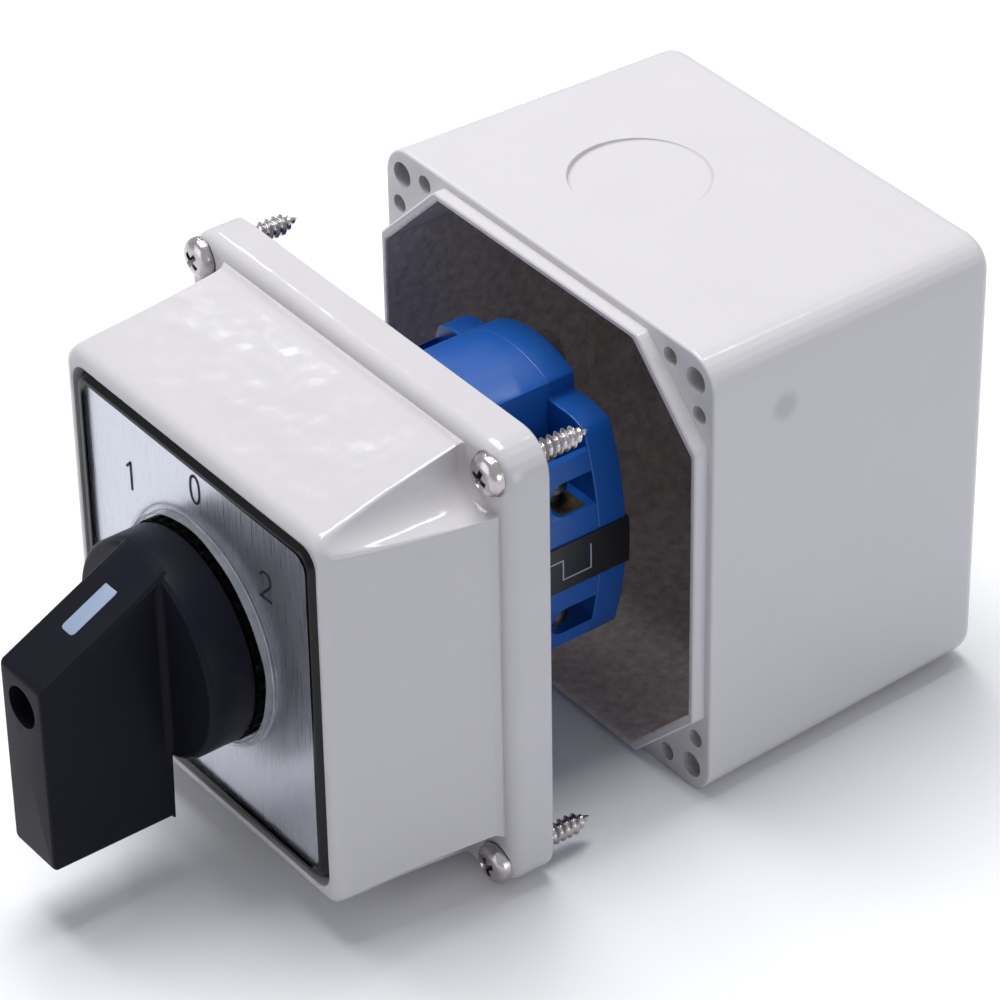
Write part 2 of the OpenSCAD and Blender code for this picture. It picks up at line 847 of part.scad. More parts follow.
// Strip with its fixed contact tip, one for each terminal
module fixed_contact() {
    difference() {
        union() {
            translate([strip_x, -strip_w / 2, strip_z]) cube([strip_t, strip_w, leg_out_z - strip_z]);
            translate([strip_x, -leg_w / 2, leg_z]) cube([leg_end - strip_x, leg_w, strip_t]);
            translate([strip_x + strip_t, 0, contact_z]) rotate([0, 90, 0])
                cylinder(r = contact_r, h = contact_t);
        }
        translate([clamp_x, 0, 0]) post(clamp_screw_r + slip, leg_z - overrun, leg_out_z + overrun);
    }
}

module fixed_contacts(k) {
    color(brass) translate([0, contact_y(k), 0]) both_sides() both_halves() fixed_contact();
}

module terminal_screws(k) {
    color(steel) translate([0, contact_y(k), 0]) both_sides() both_halves() translate([clamp_x, 0, 0])
        difference() {
            union() {
                post(clamp_screw_r, clamp_tip_z, clamp_head_z);
                post(clamp_head_r, clamp_head_z, clamp_head_z + clamp_head_t);
            }
            translate([-slot_w / 2, -clamp_head_r - overrun, clamp_head_z + clamp_head_t / 2])
                cube([slot_w, 2 * (clamp_head_r + overrun), clamp_head_t]);
        }
}

module clamp_washers(k) {
    color(steel) translate([0, contact_y(k), 0]) both_sides() both_halves() translate([clamp_x, 0, 0])
        difference() {
            post(washer_r, clamp_head_z - washer_t, clamp_head_z);
            post(clamp_screw_r + slip, clamp_head_z - washer_t - overrun, clamp_head_z + overrun);
        }
}

module rear_plate() {
    color(blue) difference() {
        slab(rear_y, end_y) rear_sketch();
        rod(bearing_r, rear_y - overrun, end_y + overrun);
        bolt_holes(rear_y, end_y);
    }
}

module through_bolts() {
    head_y = cover_in_y + bolt_sink;
    color(steel) for (s = [-1, 1]) at(0, s * bolt_z) {
        rod(bolt_head_r, head_y, head_y + bolt_head_t);
        rod(bolt_r, head_y + bolt_head_t, end_y + nut_t + bolt_over);
    }
}

module bolt_nuts() {
    color(steel) for (s = [-1, 1]) at(0, s * bolt_z) slab(end_y, end_y + nut_t) difference() {
        circle(d = nut_af / cos(30), $fn = 6);
        circle(bolt_r + slip);
    }
}

// Band stuck on the right side and round the rear edge
module wiring_label() {
    color(black) {
        slab(stack_y, end_y + band_t) intersection() {
            difference() {
                translate([body_half - bulge_r, 0]) circle(bulge_r + band_t, $fn = 256);
                translate([body_half - bulge_r, 0]) circle(bulge_r, $fn = 256);
            }
            translate([band_in, -band_half]) square([body_half, 2 * band_half]);
        }
        slab(end_y, end_y + band_t) intersection() {
            translate([body_half - bulge_r, 0]) circle(bulge_r + band_t / 2, $fn = 256);
            translate([band_in, -band_half]) square([body_half, 2 * band_half]);
        }
    }
}

// Side view of the handle's blade, in Y and Z
module blade_sketch(inset) {
    polygon([[blade_y + inset, -blade_down + inset], [disc_front_y - inset, -blade_down + inset],
        [disc_front_y - inset, blade_root_up - inset], [blade_y + inset, blade_tip_up - inset]]);
}

module handle() {
    pocket_end = blade_y + pocket_d;
    color(black) difference() {
        union() {
            turned() polygon([[0, disc_front_y], [disc_r - disc_edge, disc_front_y],
                [disc_r, disc_front_y + disc_edge], [disc_r, disc_y], [0, disc_y]]);
            hull() {
                plank(-blade_t / 2 + blade_edge, blade_t / 2 - blade_edge) blade_sketch(0);
                plank(-blade_t / 2, blade_t / 2) blade_sketch(blade_edge);
            }
            plank(-blade_t / 2, blade_t / 2) polygon([
                [disc_front_y - 2 * blade_edge, -disc_r / 2], [disc_front_y + disc_edge, -disc_r / 2],
                [disc_front_y + disc_edge, disc_r / 2], [disc_front_y - 2 * blade_edge, disc_r / 2]]);
        }
        rod(pocket_r, blade_y - overrun, pocket_end);
        rod(knob_screw_r + slip, pocket_end - overrun, pocket_end + socket_floor + overrun);
        shaft_hole(pocket_end + socket_floor + overrun, disc_y);
        turned() translate([hollow_in_r, disc_y - hollow_d])
            square([hollow_out_r - hollow_in_r, hollow_d + overrun]);
        pointer_place() cube([pointer_l + 2 * slip, pointer_w + 2 * slip, 2 * pointer_t], center = true);
    }
}

// Middle of the pointer's seat, with X along the slope and Z out of it
module pointer_place() {
    y = disc_front_y - pointer_from - pointer_l / 2 * cos(slope_deg);
    z = blade_root_up - (disc_front_y - y) * tan(slope_deg);
    translate([0, y, z]) rotate([0, 0, 90]) rotate([0, -slope_deg, 0]) children();
}

module handle_indicator() {
    color(white) pointer_place() translate([0, 0, -pointer_t / 2])
        cube([pointer_l, pointer_w, pointer_t], center = true);
}

module handle_screw() {
    floor_y = blade_y + pocket_d;
    color(steel) difference() {
        union() {
            rod(knob_head_r, floor_y - knob_head_t, floor_y);
            rod(knob_screw_r, floor_y, floor_y + knob_screw_l);
        }
        cross_slot(floor_y - knob_head_t, knob_head_r);
    }
}

module switch_shaft() {
    front_y = blade_y + pocket_d + socket_floor + run_gap;
    color(steel) difference() {
        slab(front_y, end_y - run_gap) intersection() {
            square(shaft_w, center = true);
            circle(shaft_dia / 2);
        }
        rod(knob_screw_r + slip, front_y - overrun, blade_y + pocket_d + knob_screw_l + overrun);
    }
}

// Radius of a cam at an angle from the top towards the right, in the middle position
function cam_at(a) =
    a < throw_deg ? cam_low
    : a < 180 - throw_deg ? cam_r + cam_lift * (a - 90) / throw_deg
    : a < 180 + throw_deg ? cam_high
    : a < 360 - throw_deg ? cam_r - cam_lift * (a - 270) / throw_deg
    : cam_low;

module cam(k) {
    cam_v = contact_v - cam_t / 2;
    color(white) translate([0, stage_y(k), 0]) difference() {
        union() {
            slab(cam_v, cam_v + cam_t) polygon([for (a = [0 : cam_step_deg : 360 - cam_step_deg])
                cam_at(a) * [sin(a), cos(a)]]);
            rod(hub_r, run_gap, cam_v);
            rod(hub_r, cam_v + cam_t, stage_t - run_gap);
        }
        shaft_hole(0, stage_t);
    }
}

// A piece of stage k on side 1, the right, or -1, the left
module in_stage(k, side) {
    translate([0, contact_y(k), 0]) mirror([side < 0 ? 1 : 0, 0, 0]) children();
}

module follower(k, side) {
    color(white) in_stage(k, side) difference() {
        slab(-follower_t / 2, follower_t / 2) {
            translate([tip_x, 0]) circle(tip_r);
            polygon([[tip_x, -tip_r], [tip_x + follower_taper, -follower_half],
                [follower_end, -follower_half], [follower_end, follower_half],
                [tip_x + follower_taper, follower_half], [tip_x, tip_r]]);
        }
        translate([bridge_x - slip, -bridge_w / 2 - slip, -follower_half - overrun])
            cube([bridge_t + 2 * slip, bridge_w + 2 * slip, 2 * (follower_half + overrun)]);
    }
}

module bridge(k, side) {
    color(brass) in_stage(k, side) {
        translate([bridge_x, -bridge_w / 2, -bridge_half])
            cube([bridge_t, bridge_w, 2 * bridge_half]);
        for (s = [-1, 1]) translate([bridge_x - contact_t, 0, s * contact_z]) rotate([0, 90, 0])
            cylinder(r = contact_r, h = contact_t);
    }
}

module contact_spring(k, side) {
    color(steel) in_stage(k, side) translate([follower_end, 0, 0]) rotate([0, 90, 0]) difference() {
        cylinder(r = spring_r, h = spring_l);
        translate([0, 0, -overrun]) cylinder(r = spring_r - spring_wire, h = spring_l + 2 * overrun);
    }
}

enclosure_box();
on_cover() cover();
on_cover() cover_gasket();
on_cover() cover_screws();
on_cover() dial_frame();
on_cover() label_plate();
on_cover() dial_numerals();
on_cover() label_window();
on_cover() collar_ring();
on_cover() mounting_plate();
on_cover() mounting_screws();
on_cover() detent_housing();
on_cover() detent_springs();
on_cover() rear_plate();
on_cover() through_bolts();
on_cover() bolt_nuts();
on_cover() wiring_label();
on_cover() handle();
on_cover() handle_indicator();
on_cover() handle_screw();
on_cover() switch_shaft();
on_cover() star_wheel();
for (k = [1 : 3]) {
    on_cover() stage(k);
    on_cover() fixed_contacts(k);
    on_cover() terminal_screws(k);
    on_cover() clamp_washers(k);
    on_cover() cam(k);
    for (side = [1, -1]) {
        hand = side > 0 ? "right" : "left";
        on_cover() follower(k, side);
        on_cover() bridge(k, side);
        on_cover() contact_spring(k, side);
    }
}
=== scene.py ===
# %% [markdown]
# # A rotary changeover switch, drawn off its wall box
#
# The object is a cam switch with a black lever handle and a silver dial, screwed into the cover
# of a pale grey plastic box. The cover has been pulled straight off, so the blue switch body and
# the inside of the box show. A packed construction model already holds every piece at its size
# and place. This lesson dresses it: the moulded shells, the handle and the screws are made again
# as smooth surfaces, and the hidden pieces keep their solids and get a finish.

# %% Load the frame
from math import atan2, cos, pi, radians, sin, tan

import bmesh
import bpy
import numpy as np
from mathutils import Matrix, Vector


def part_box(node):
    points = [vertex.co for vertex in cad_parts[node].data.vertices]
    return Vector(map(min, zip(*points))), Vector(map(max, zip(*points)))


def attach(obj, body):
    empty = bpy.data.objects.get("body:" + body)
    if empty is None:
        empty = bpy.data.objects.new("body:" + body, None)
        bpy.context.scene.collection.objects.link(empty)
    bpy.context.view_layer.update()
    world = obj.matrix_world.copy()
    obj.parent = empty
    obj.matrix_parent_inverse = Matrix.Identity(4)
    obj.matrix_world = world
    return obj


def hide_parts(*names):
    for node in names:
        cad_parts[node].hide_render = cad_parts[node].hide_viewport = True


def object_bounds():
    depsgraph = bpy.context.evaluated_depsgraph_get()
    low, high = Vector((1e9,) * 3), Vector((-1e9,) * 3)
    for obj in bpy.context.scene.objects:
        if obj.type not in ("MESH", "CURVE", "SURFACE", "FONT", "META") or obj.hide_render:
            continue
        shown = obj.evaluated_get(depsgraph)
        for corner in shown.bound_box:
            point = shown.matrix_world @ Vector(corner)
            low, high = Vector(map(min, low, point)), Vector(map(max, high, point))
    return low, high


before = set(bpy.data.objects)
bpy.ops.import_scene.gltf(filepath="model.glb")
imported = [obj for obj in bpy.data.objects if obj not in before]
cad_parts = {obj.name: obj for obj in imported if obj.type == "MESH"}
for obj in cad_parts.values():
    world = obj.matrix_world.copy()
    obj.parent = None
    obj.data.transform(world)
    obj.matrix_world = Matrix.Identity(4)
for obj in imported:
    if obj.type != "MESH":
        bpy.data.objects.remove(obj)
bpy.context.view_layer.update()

MM = 0.001
TAU = 2 * pi

# %% [markdown]
# ## Sizes come from the frame
#
# A size that a solid already has is read from its box, so the dressed piece can't drift from the
# construction. Everything here is in millimetres, with X to the right, Y into the wall and Z up.
# Only what a box can't tell, such as a radius or a wall, is written as a number.

# %% Read the main places from the solids
def node_box(node):
    """Lowest and highest corner of a construction node, in millimetres."""
    low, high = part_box(node)
    return np.array(low) / MM, np.array(high) / MM


box_low, box_high = node_box("enclosure_box")
cover_low, cover_high = node_box("cover")
frame_low, frame_high = node_box("dial_frame")
handle_low, handle_high = node_box("handle")

BOX_HALF = box_high[0]
TONGUE_H = 2.6
RIM_Y = box_low[1] + TONGUE_H
COVER_Y = cover_high[1]
FACE_Y = cover_low[1]
print(f"box {2 * BOX_HALF:.1f} mm wide, rim at {RIM_Y:.1f}, cover's back at {COVER_Y:.1f}")

# %% [markdown]
# ## The camera
#
# The picture looks down on the object from the front right through a long lens, so parallel edges
# stay nearly parallel. The camera is placed by its azimuth, elevation and roll about a point in
# the middle of the object, which is how a photographer thinks of it, and it comes before the
# pieces because everything else is judged through it.

# %% Place the camera
CAMERA_AZIMUTH = 53.34
CAMERA_ELEVATION = 35.81
CAMERA_ROLL = -1.01
CAMERA_DISTANCE = 828.0
CAMERA_LENS = 173.5
CAMERA_TARGET = np.array([0.3, -72.3, -1.9])


def camera_axes(azimuth, elevation, roll):
    """Right, up and forward directions of a camera that looks at the object from the front."""
    a, e, r = radians(azimuth), radians(elevation), radians(roll)
    forward = np.array([-sin(a) * cos(e), cos(a) * cos(e), -sin(e)])
    level = np.array([cos(a), sin(a), 0.0])
    upright = np.cross(level, forward)
    return (cos(r) * level + sin(r) * upright, cos(r) * upright - sin(r) * level, forward)


def new_object(name, data):
    """An object made of some data and put into the scene."""
    obj = bpy.data.objects.new(name, data)
    bpy.context.scene.collection.objects.link(obj)
    return obj


right, up, forward = camera_axes(CAMERA_AZIMUTH, CAMERA_ELEVATION, CAMERA_ROLL)
camera = new_object("camera", bpy.data.cameras.new("camera"))
turn = Matrix([right, up, -forward]).transposed()
camera.matrix_world = (Matrix.Translation(Vector((CAMERA_TARGET - CAMERA_DISTANCE * forward) * MM))
                       @ turn.to_4x4())
camera.data.lens = CAMERA_LENS
camera.data.sensor_width = 36.0
camera.data.clip_start = 0.01
bpy.context.scene.camera = camera

# %% [markdown]
# ## Outlines and lofts
#
# The box, the cover and the dial frame are walls carried round the switch's axis, as the blue
# stages are. Each of these three is a loft: a row of closed outlines, one behind the other along Y.
# Every outline is turned into a distance from the axis for one shared list of directions, so point
# number k lies in the same direction on every ring and the rings join into clean four-sided faces.

# %% Outlines as distances from the axis
def directions(count, sharp_degrees, spread, extra):
    """Angles round the axis: an even fan, with extra ones close to where the outlines turn."""
    fan = np.arange(count) * TAU / count
    near = [np.radians(a + np.linspace(-spread, spread, extra)) for a in sharp_degrees]
    return np.unique(np.round(np.concatenate([fan, *near]) % TAU, 6))


def rounded_polygon(corners, radius, steps=8):
    """Convex outline with each corner replaced by an arc that is tangent to both its sides.

    The arc's centre lies on the corner's bisector, radius / sin(half the corner) away from it.
    """
    p = np.asarray(corners, float)
    to_last = np.roll(p, 1, 0) - p
    to_next = np.roll(p, -1, 0) - p
    to_last /= np.linalg.norm(to_last, axis=1)[:, None]
    to_next /= np.linalg.norm(to_next, axis=1)[:, None]
    half = np.arccos(np.clip((to_last * to_next).sum(1), -1, 1)) / 2
    bisector = to_last + to_next
    bisector /= np.linalg.norm(bisector, axis=1)[:, None]
    centre = p + bisector * (radius / np.sin(half))[:, None]
    start = p + to_last * (radius / np.tan(half))[:, None] - centre
    a0 = np.arctan2(start[:, 1], start[:, 0])
    sweep = pi - 2 * half
    a = a0[:, None] + sweep[:, None] * np.linspace(0, 1, steps)
    arc = centre[:, None] + radius * np.stack([np.cos(a), np.sin(a)], 2)
    return arc.reshape(-1, 2)


SQUARE = np.array([[1, -1], [1, 1], [-1, 1], [-1, -1]])
SMALLEST_R = 0.05


def square(half, radius):
    """Square outline of a half width, with round corners."""
    return rounded_polygon(SQUARE * half, max(radius, SMALLEST_R))


def octagon(half, cut, radius):
    """Square whose corners are cut off where x + z reaches cut."""
    far = cut - half
    corners = [[half, -far], [half, far], [far, half], [-far, half],
               [-half, far], [-half, -far], [-far, -half], [far, -half]]
    return rounded_polygon(corners, radius)


def cross2(a, b):
    return a[..., 0] * b[..., 1] - a[..., 1] * b[..., 0]


def reach(outline, angles):
    """Distance to a closed outline in each direction.

    The ray in direction d meets the side from p along e at the distance cross(p, e) / cross(d, e).
    """
    at = np.arctan2(outline[:, 1], outline[:, 0]) % TAU
    order = np.argsort(at)
    p, at = outline[order], at[order]
    i = np.searchsorted(at, angles, side="right") - 1
    side = p[(i + 1) % len(p)] - p[i]
    ray = np.stack([np.cos(angles), np.sin(angles)], 1)
    return cross2(p[i], side) / cross2(ray, side)


def ring(distance, angles, y):
    """One ring of a loft: points at the given distances from the axis, in the plane of y."""
    distance = np.broadcast_to(distance, angles.shape)
    y = np.broadcast_to(y, angles.shape)
    return np.stack([distance * np.cos(angles), y, distance * np.sin(angles)], 1)


# %% [markdown]
# ## From rings to a mesh
#
# A grid of points becomes a mesh by joining each point to its neighbours. The sign of the volume
# says whether the faces point outwards, and the whole grid is turned over if they don't. Smooth
# shading stays clean because each rounded edge has its own close rings, with one more ring just
# outside it that holds the flat face flat.

# %% Mesh and piece helpers
def grid_faces(rows, cols, closed):
    """Four corner numbers of each face of a grid whose columns close on themselves."""
    r = np.arange(rows if closed else rows - 1)[:, None]
    c = np.arange(cols)[None, :]
    nr, nc = (r + 1) % rows, (c + 1) % cols
    return np.stack([r * cols + c, r * cols + nc, nr * cols + nc, nr * cols + c], 2).reshape(-1, 4)


def volume(points, faces):
    """Six times the signed volume of four-sided faces, each counted as two triangles."""
    a, b, c, d = (points[faces[:, k]] for k in range(4))
    return (np.cross(a, b) * c).sum() + (np.cross(a, c) * d).sum()


def loft(rings, closed=False):
    """Points in millimetres and faces of a row of rings, its open ends closed by fans."""
    grid = np.stack(rings)
    rows, cols = grid.shape[:2]
    points = grid.reshape(-1, 3)
    faces = grid_faces(rows, cols, closed)
    if not closed:
        first, last = len(points), len(points) + 1
        points = np.vstack([points, grid[0].mean(0), grid[-1].mean(0)])
        c = np.arange(cols)
        n = (c + 1) % cols
        end = (rows - 1) * cols
        faces = np.vstack([faces,
                           np.stack([n, c, np.full(cols, first), np.full(cols, first)], 1),
                           np.stack([c + end, n + end, np.full(cols, last), np.full(cols, last)], 1)])
    if volume(points, faces) < 0:
        faces = faces[:, ::-1]
    return points, faces


def joined(*parts):
    """Several sets of points and faces as one."""
    points, faces, start = [], [], 0
    for p, f in parts:
        points.append(p)
        faces.append(f + start)
        start += len(p)
    return np.vstack(points), np.vstack(faces)


SHARP = radians(35)


def smoothed(mesh):
    """Shades a mesh smooth, with edges sharper than an angle kept crisp."""
    mesh.shade_smooth()
    mesh.set_sharp_from_angle(angle=SHARP)
    return mesh


def build_mesh(name, part):
    """A Blender mesh in metres from points in millimetres and four-sided faces."""
    points, faces = part
    corners = [[v for k, v in enumerate(f) if v != f[k - 1]] for f in faces.tolist()]
    mesh = bpy.data.meshes.new(name)
    mesh.from_pydata((points * MM).tolist(), [], corners)
    mesh.validate()
    return smoothed(mesh)


def add_piece(name, shape, body, material, replaces=()):
    """A mesh, or points and faces, as a piece that rides on a body and stands for CAD nodes."""
    mesh = build_mesh(name, shape) if isinstance(shape, tuple) else shape
    obj = new_object(name, mesh)
    mesh.materials.clear()
    mesh.materials.append(material)
    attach(obj, body)
    if replaces:
        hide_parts(*replaces)
    print(f"{name}: {len(mesh.polygons)} faces")
    return obj


def carve(mesh, cutter, operation="DIFFERENCE"):
    """Cuts one mesh out of another with an exact boolean, or joins them; returns the new mesh."""
    blank, tool = new_object("blank", mesh), new_object("tool", cutter)
    cut = blank.modifiers.new("cut", "BOOLEAN")
    cut.operation, cut.solver, cut.object = operation, "EXACT", tool
    graph = bpy.context.evaluated_depsgraph_get()
    result = bpy.data.meshes.new_from_object(blank.evaluated_get(graph))
    result.name = mesh.name + "_cut"
    for o in (blank, tool):
        bpy.data.objects.remove(o)
    return smoothed(result)


def bar(centre, axis, radius, start, end, sides=48, first=None):
    """A round bar as a loft: rings about an axis, from start to end; first is the start's radius."""
    axis = Vector(axis).normalized()
    across = axis.orthogonal().normalized()
    along = axis.cross(across)
    a = np.arange(sides) * TAU / sides
    circle = np.outer(np.cos(a), across) + np.outer(np.sin(a), along)
    ends = ((start, first or radius), (end, radius))
    return loft([np.array(centre) + r * circle + s * np.array(axis) for s, r in ends])


def edge_arc(radius, steps=6):
    """Inset and drop of the points of a quarter-round edge, from its flat end to its side."""
    a = np.linspace(0, pi / 2, steps)
    return radius * (1 - np.sin(a)), radius * (1 - np.cos(a))


# %% [markdown]
# ## Finishes
#
# Each finish is a small node tree on the Principled shader. Moulded plastic isn't one flat
# colour: it has a very fine grain from the mould and faint clouds of lighter and darker resin.
# Both come from noise on Object coordinates, so the pattern is fixed to the piece and keeps its
# real scale. One helper adds a node, sets it and links it, which keeps every tree readable.

# %% Node helpers
def add_node(tree, kind, settings=None, **inputs):
    """Adds a shader node; inputs are values or output sockets, named as the sockets are."""
    node = tree.nodes.new("ShaderNode" + kind)
    for key, value in (settings or {}).items():
        setattr(node, key, value)
    for key, value in inputs.items():
        name = key.replace("_", " ")
        socket = node.inputs[int(key[1:])] if key[1:].isdigit() else node.inputs[name]
        if isinstance(value, bpy.types.NodeSocket):
            tree.links.new(value, socket)
        else:
            socket.default_value = value
    return node


def new_finish(name, **shader_inputs):
    """A material with one Principled shader; returns the material, its tree and the shader."""
    material = bpy.data.materials.new(name)
    material.use_nodes = True
    tree = material.node_tree
    tree.nodes.clear()
    shader = add_node(tree, "BsdfPrincipled", **shader_inputs)
    output = add_node(tree, "OutputMaterial", Surface=shader.outputs[0])
    output.is_active_output = True
    return material, tree, shader


def piece_coordinates(tree, scale=(1, 1, 1)):
    """Object coordinates in millimetres, stretched."""
    place = add_node(tree, "TexCoord").outputs["Object"]
    size = tuple(s / MM for s in scale)
    return add_node(tree, "Mapping", Vector=place, Scale=size).outputs[0]


def away_from(tree, centre, scale=(1, 1, 1)):
    """Distance from a centre; a scale of 0 leaves an axis out and gives the distance from a line."""
    place = piece_coordinates(tree, scale)
    return add_node(tree, "VectorMath", {"operation": "DISTANCE"}, i0=place,
                    i1=centre).outputs["Value"]


def maths(tree, operation, *values):
    """Result of one Math node."""
    inputs = {f"i{k}": value for k, value in enumerate(values)}
    return add_node(tree, "Math", {"operation": operation}, **inputs).outputs[0]


def noise(tree, place, scale, detail, roughness=0.5):
    return add_node(tree, "TexNoise", Vector=place, Scale=scale, Detail=detail,
                    Roughness=roughness).outputs[0]


def spread(tree, value, low, high, start=0.3, end=0.7):
    """Carries a noise value from its usual range to a new one."""
    return add_node(tree, "MapRange", Value=value, From_Min=start, From_Max=end, To_Min=low,
                    To_Max=high).outputs[0]


def tinted(tree, factor, first, second):
    """Colour between two, each given as a colour or as a socket."""
    pair = [c if isinstance(c, bpy.types.NodeSocket) else (*c, 1) for c in (first, second)]
    return add_node(tree, "Mix", {"data_type": "RGBA"}, i0=factor, i6=pair[0], i7=pair[1]).outputs[2]


def shade(colour, share):
    return tuple(min(c * share, 1.0) for c in colour)


def wire(shader, **sockets):
    """Links sockets to a shader's inputs, named as the inputs are."""
    for key, socket in sockets.items():
        shader.id_data.links.new(socket, shader.inputs[key.replace("_", " ")])


def add_bump(tree, shader, height, distance):
    """Bump from a height value; distance is in millimetres."""
    wire(shader, Normal=add_node(tree, "Bump", Distance=distance * MM, Height=height).outputs[0])


# %% Moulded plastic and metal
GLOSS_SPREAD = 0.05
CLOUD_SCALE, SWELL_SCALE = 0.07, 0.16


def moulded(name, colour, roughness, cloud, grain, grain_scale=2.2, swell=0.0, **inputs):
    """Moulded plastic: faint clouds in the colour, a fine mould grain, slow swells, uneven gloss."""
    material, tree, shader = new_finish(name, **inputs)
    place = piece_coordinates(tree)
    clouds = noise(tree, place, CLOUD_SCALE, 2)
    fine = noise(tree, place, grain_scale, 4, 0.6)
    slow = noise(tree, place, SWELL_SCALE, 1)
    wire(shader, Base_Color=tinted(tree, clouds, shade(colour, 1 - cloud), shade(colour, 1 + cloud)),
         Roughness=spread(tree, fine, roughness - GLOSS_SPREAD, roughness + GLOSS_SPREAD))
    add_bump(tree, shader, maths(tree, "MULTIPLY_ADD", slow, swell / grain, fine), grain)
    return material


def metal(name, colour, roughness, scratch=(1, 1, 1), scratch_scale=1.5, wear=0.1, bump=0.006):
    """Metal with streaks or blotches that change its colour and its gloss a little."""
    material, tree, shader = new_finish(name, Metallic=1.0)
    streaks = noise(tree, piece_coordinates(tree, scratch), scratch_scale, 5, 0.65)
    wire(shader, Base_Color=tinted(tree, streaks, shade(colour, 1 - wear), shade(colour, 1 + wear)),
         Roughness=spread(tree, streaks, roughness * 0.75, roughness * 1.3))
    add_bump(tree, shader, streaks, bump)
    return material


# %% Marks and painted shade on a finish
def colour_of(material):
    """Tree and shader of a finish, and the socket that colours it."""
    tree = material.node_tree
    shader = next(n for n in tree.nodes if n.type == "BSDF_PRINCIPLED")
    return tree, shader, shader.inputs["Base Color"].links[0].from_socket


def darkened(material, away, start, end, share):
    """Scales a finish's colour by a share that fades out between two distances."""
    tree, shader, colour = colour_of(material)
    fade = add_node(tree, "MapRange", {"interpolation_type": "SMOOTHSTEP"}, Value=away,
                    From_Min=start, From_Max=end, To_Min=share, To_Max=1.0).outputs[0]
    darker = add_node(tree, "VectorMath", {"operation": "SCALE"}, i0=colour, Scale=fade)
    wire(shader, Base_Color=darker.outputs[0])


def spotted(material, place, radius, share):
    """Darkens a round patch about a place, softly from a third of its radius outwards."""
    darkened(material, away_from(material.node_tree, place), radius * 0.35, radius, share)


def paint_shade_ring(material, x, y, radius, width, share):
    """Paints a shade line into a finish along a circle about an upright line: | distance - radius | <
    width.
    """
    tree = material.node_tree
    off = maths(tree, "SUBTRACT", away_from(tree, (x, y, 0), (1, 1, 0)), radius)
    darkened(material, maths(tree, "ABSOLUTE", off), 0.0, width, share)


def painted_inside_shade(material, half, diagonal, back, tones):
    """Paints shade and warm bounced light into a finish where it faces the box's inside, as two mottled
    tones.

    Inside is where |x| < half, |z| < half and |x| + |z| < diagonal, in front of the back wall.
    """
    tree, shader, colour = colour_of(material)
    place = piece_coordinates(tree)
    x, y, z = add_node(tree, "SeparateXYZ", Vector=place).outputs
    x, z = maths(tree, "ABSOLUTE", x), maths(tree, "ABSOLUTE", z)
    inside = 1.0
    for value, limit in ((x, half), (z, half), (maths(tree, "ADD", x, z), diagonal), (y, back)):
        inside = maths(tree, "MULTIPLY", maths(tree, "LESS_THAN", value, limit), inside)
    mottle = spread(tree, noise(tree, place, 0.5, 6, 0.7), 0.0, 1.0, 0.35, 0.65)
    wire(shader, Base_Color=tinted(tree, inside, colour, tinted(tree, mottle, *tones)))


# %% The finishes of this switch
PALE_GREY = (0.63, 0.61, 0.615)
COVER_GREY = (0.59, 0.57, 0.575)
box_plastic = moulded("box_plastic", PALE_GREY, 0.17, 0.02, 0.0012, 1.2, 0.09, IOR=1.5)
cover_plastic = moulded("cover_plastic", COVER_GREY, 0.13, 0.02, 0.0015, 1.2, 0.20, IOR=1.5)
dull_black = moulded("dull_black", (0.006, 0.006, 0.007), 0.42, 0.15, 0.01)
gloss_black = moulded("gloss_black", (0.002, 0.002, 0.003), 0.15, 0.15, 0.004,
                      Specular_IOR_Level=0.25)
ring_black = moulded("ring_black", (0.001, 0.001, 0.001), 0.35, 0.1, 0.004, Specular_IOR_Level=0.05)
handle_black = moulded("handle_black", (0.0090, 0.0086, 0.0150), 0.40, 0.15, 0.008, 2.6,
                       Specular_IOR_Level=0.07)
blue_nylon = moulded("blue_nylon", (0.003, 0.080, 0.35), 0.335, 0.05, 0.001, 1.2, 0.03,
                     Specular_IOR_Level=0.5)
pointer_white = moulded("pointer_white", (0.27, 0.34, 0.46), 0.4, 0.05, 0.006)
pale_nylon = moulded("pale_nylon", (0.78, 0.77, 0.72), 0.4, 0.03, 0.01)
soft_rubber = moulded("soft_rubber", (0.03, 0.03, 0.032), 0.7, 0.2, 0.03)
dial_ink = moulded("dial_ink", (0.002, 0.002, 0.003), 0.5, 0.1, 0.003, Specular_IOR_Level=0.05)
label_black = moulded("label_black", (0.007, 0.008, 0.010), 0.35, 0.1, 0.004)
bright_steel = metal("bright_steel", (0.50, 0.47, 0.47), 0.15, scratch_scale=0.9, wear=0.3,
                     bump=0.06)
zinc_steel = metal("zinc_steel", (0.55, 0.55, 0.54), 0.3)
spring_steel = metal("spring_steel", (0.50, 0.50, 0.52), 0.25)
contact_brass = metal("contact_brass", (0.16, 0.11, 0.05), 0.4)
dark_steel = metal("dark_steel", (0.10, 0.10, 0.11), 0.4)
brushed_plate = metal("brushed_plate", (0.62, 0.63, 0.70), 0.30, (1, 1, 0.012), 7.0, 0.16, 0.002)
print("finishes:", len(bpy.data.materials))

# %% [markdown]
# ## The box
#
# The real box is one moulding with slightly drafted walls, a rounded back, a thin tongue round
# its mouth and solid corner posts, which make its inside an octagon. One row of rings does it
# all: from the middle of the back, round the back edge, up the side, over the rim and the tongue,
# and down inside to the floor. Only the round holes can't be part of such a sweep, so they are
# cut afterwards.

# %% Box outlines
BACK_HALF = 43.7
BACK_Y = box_high[1]
CORNER_R = 6.0
BACK_EDGE_R = 3.0
RIM_EDGE = 0.5
WALL = 2.7
BACK_WALL = 2.8
POST_LEG, POST_EDGE = 15.6, 0.5
TONGUE_T = 1.2
DRAFT = BOX_HALF - BACK_HALF
CAVITY_HALF = BOX_HALF - WALL
TONGUE_HALF = CAVITY_HALF + TONGUE_T

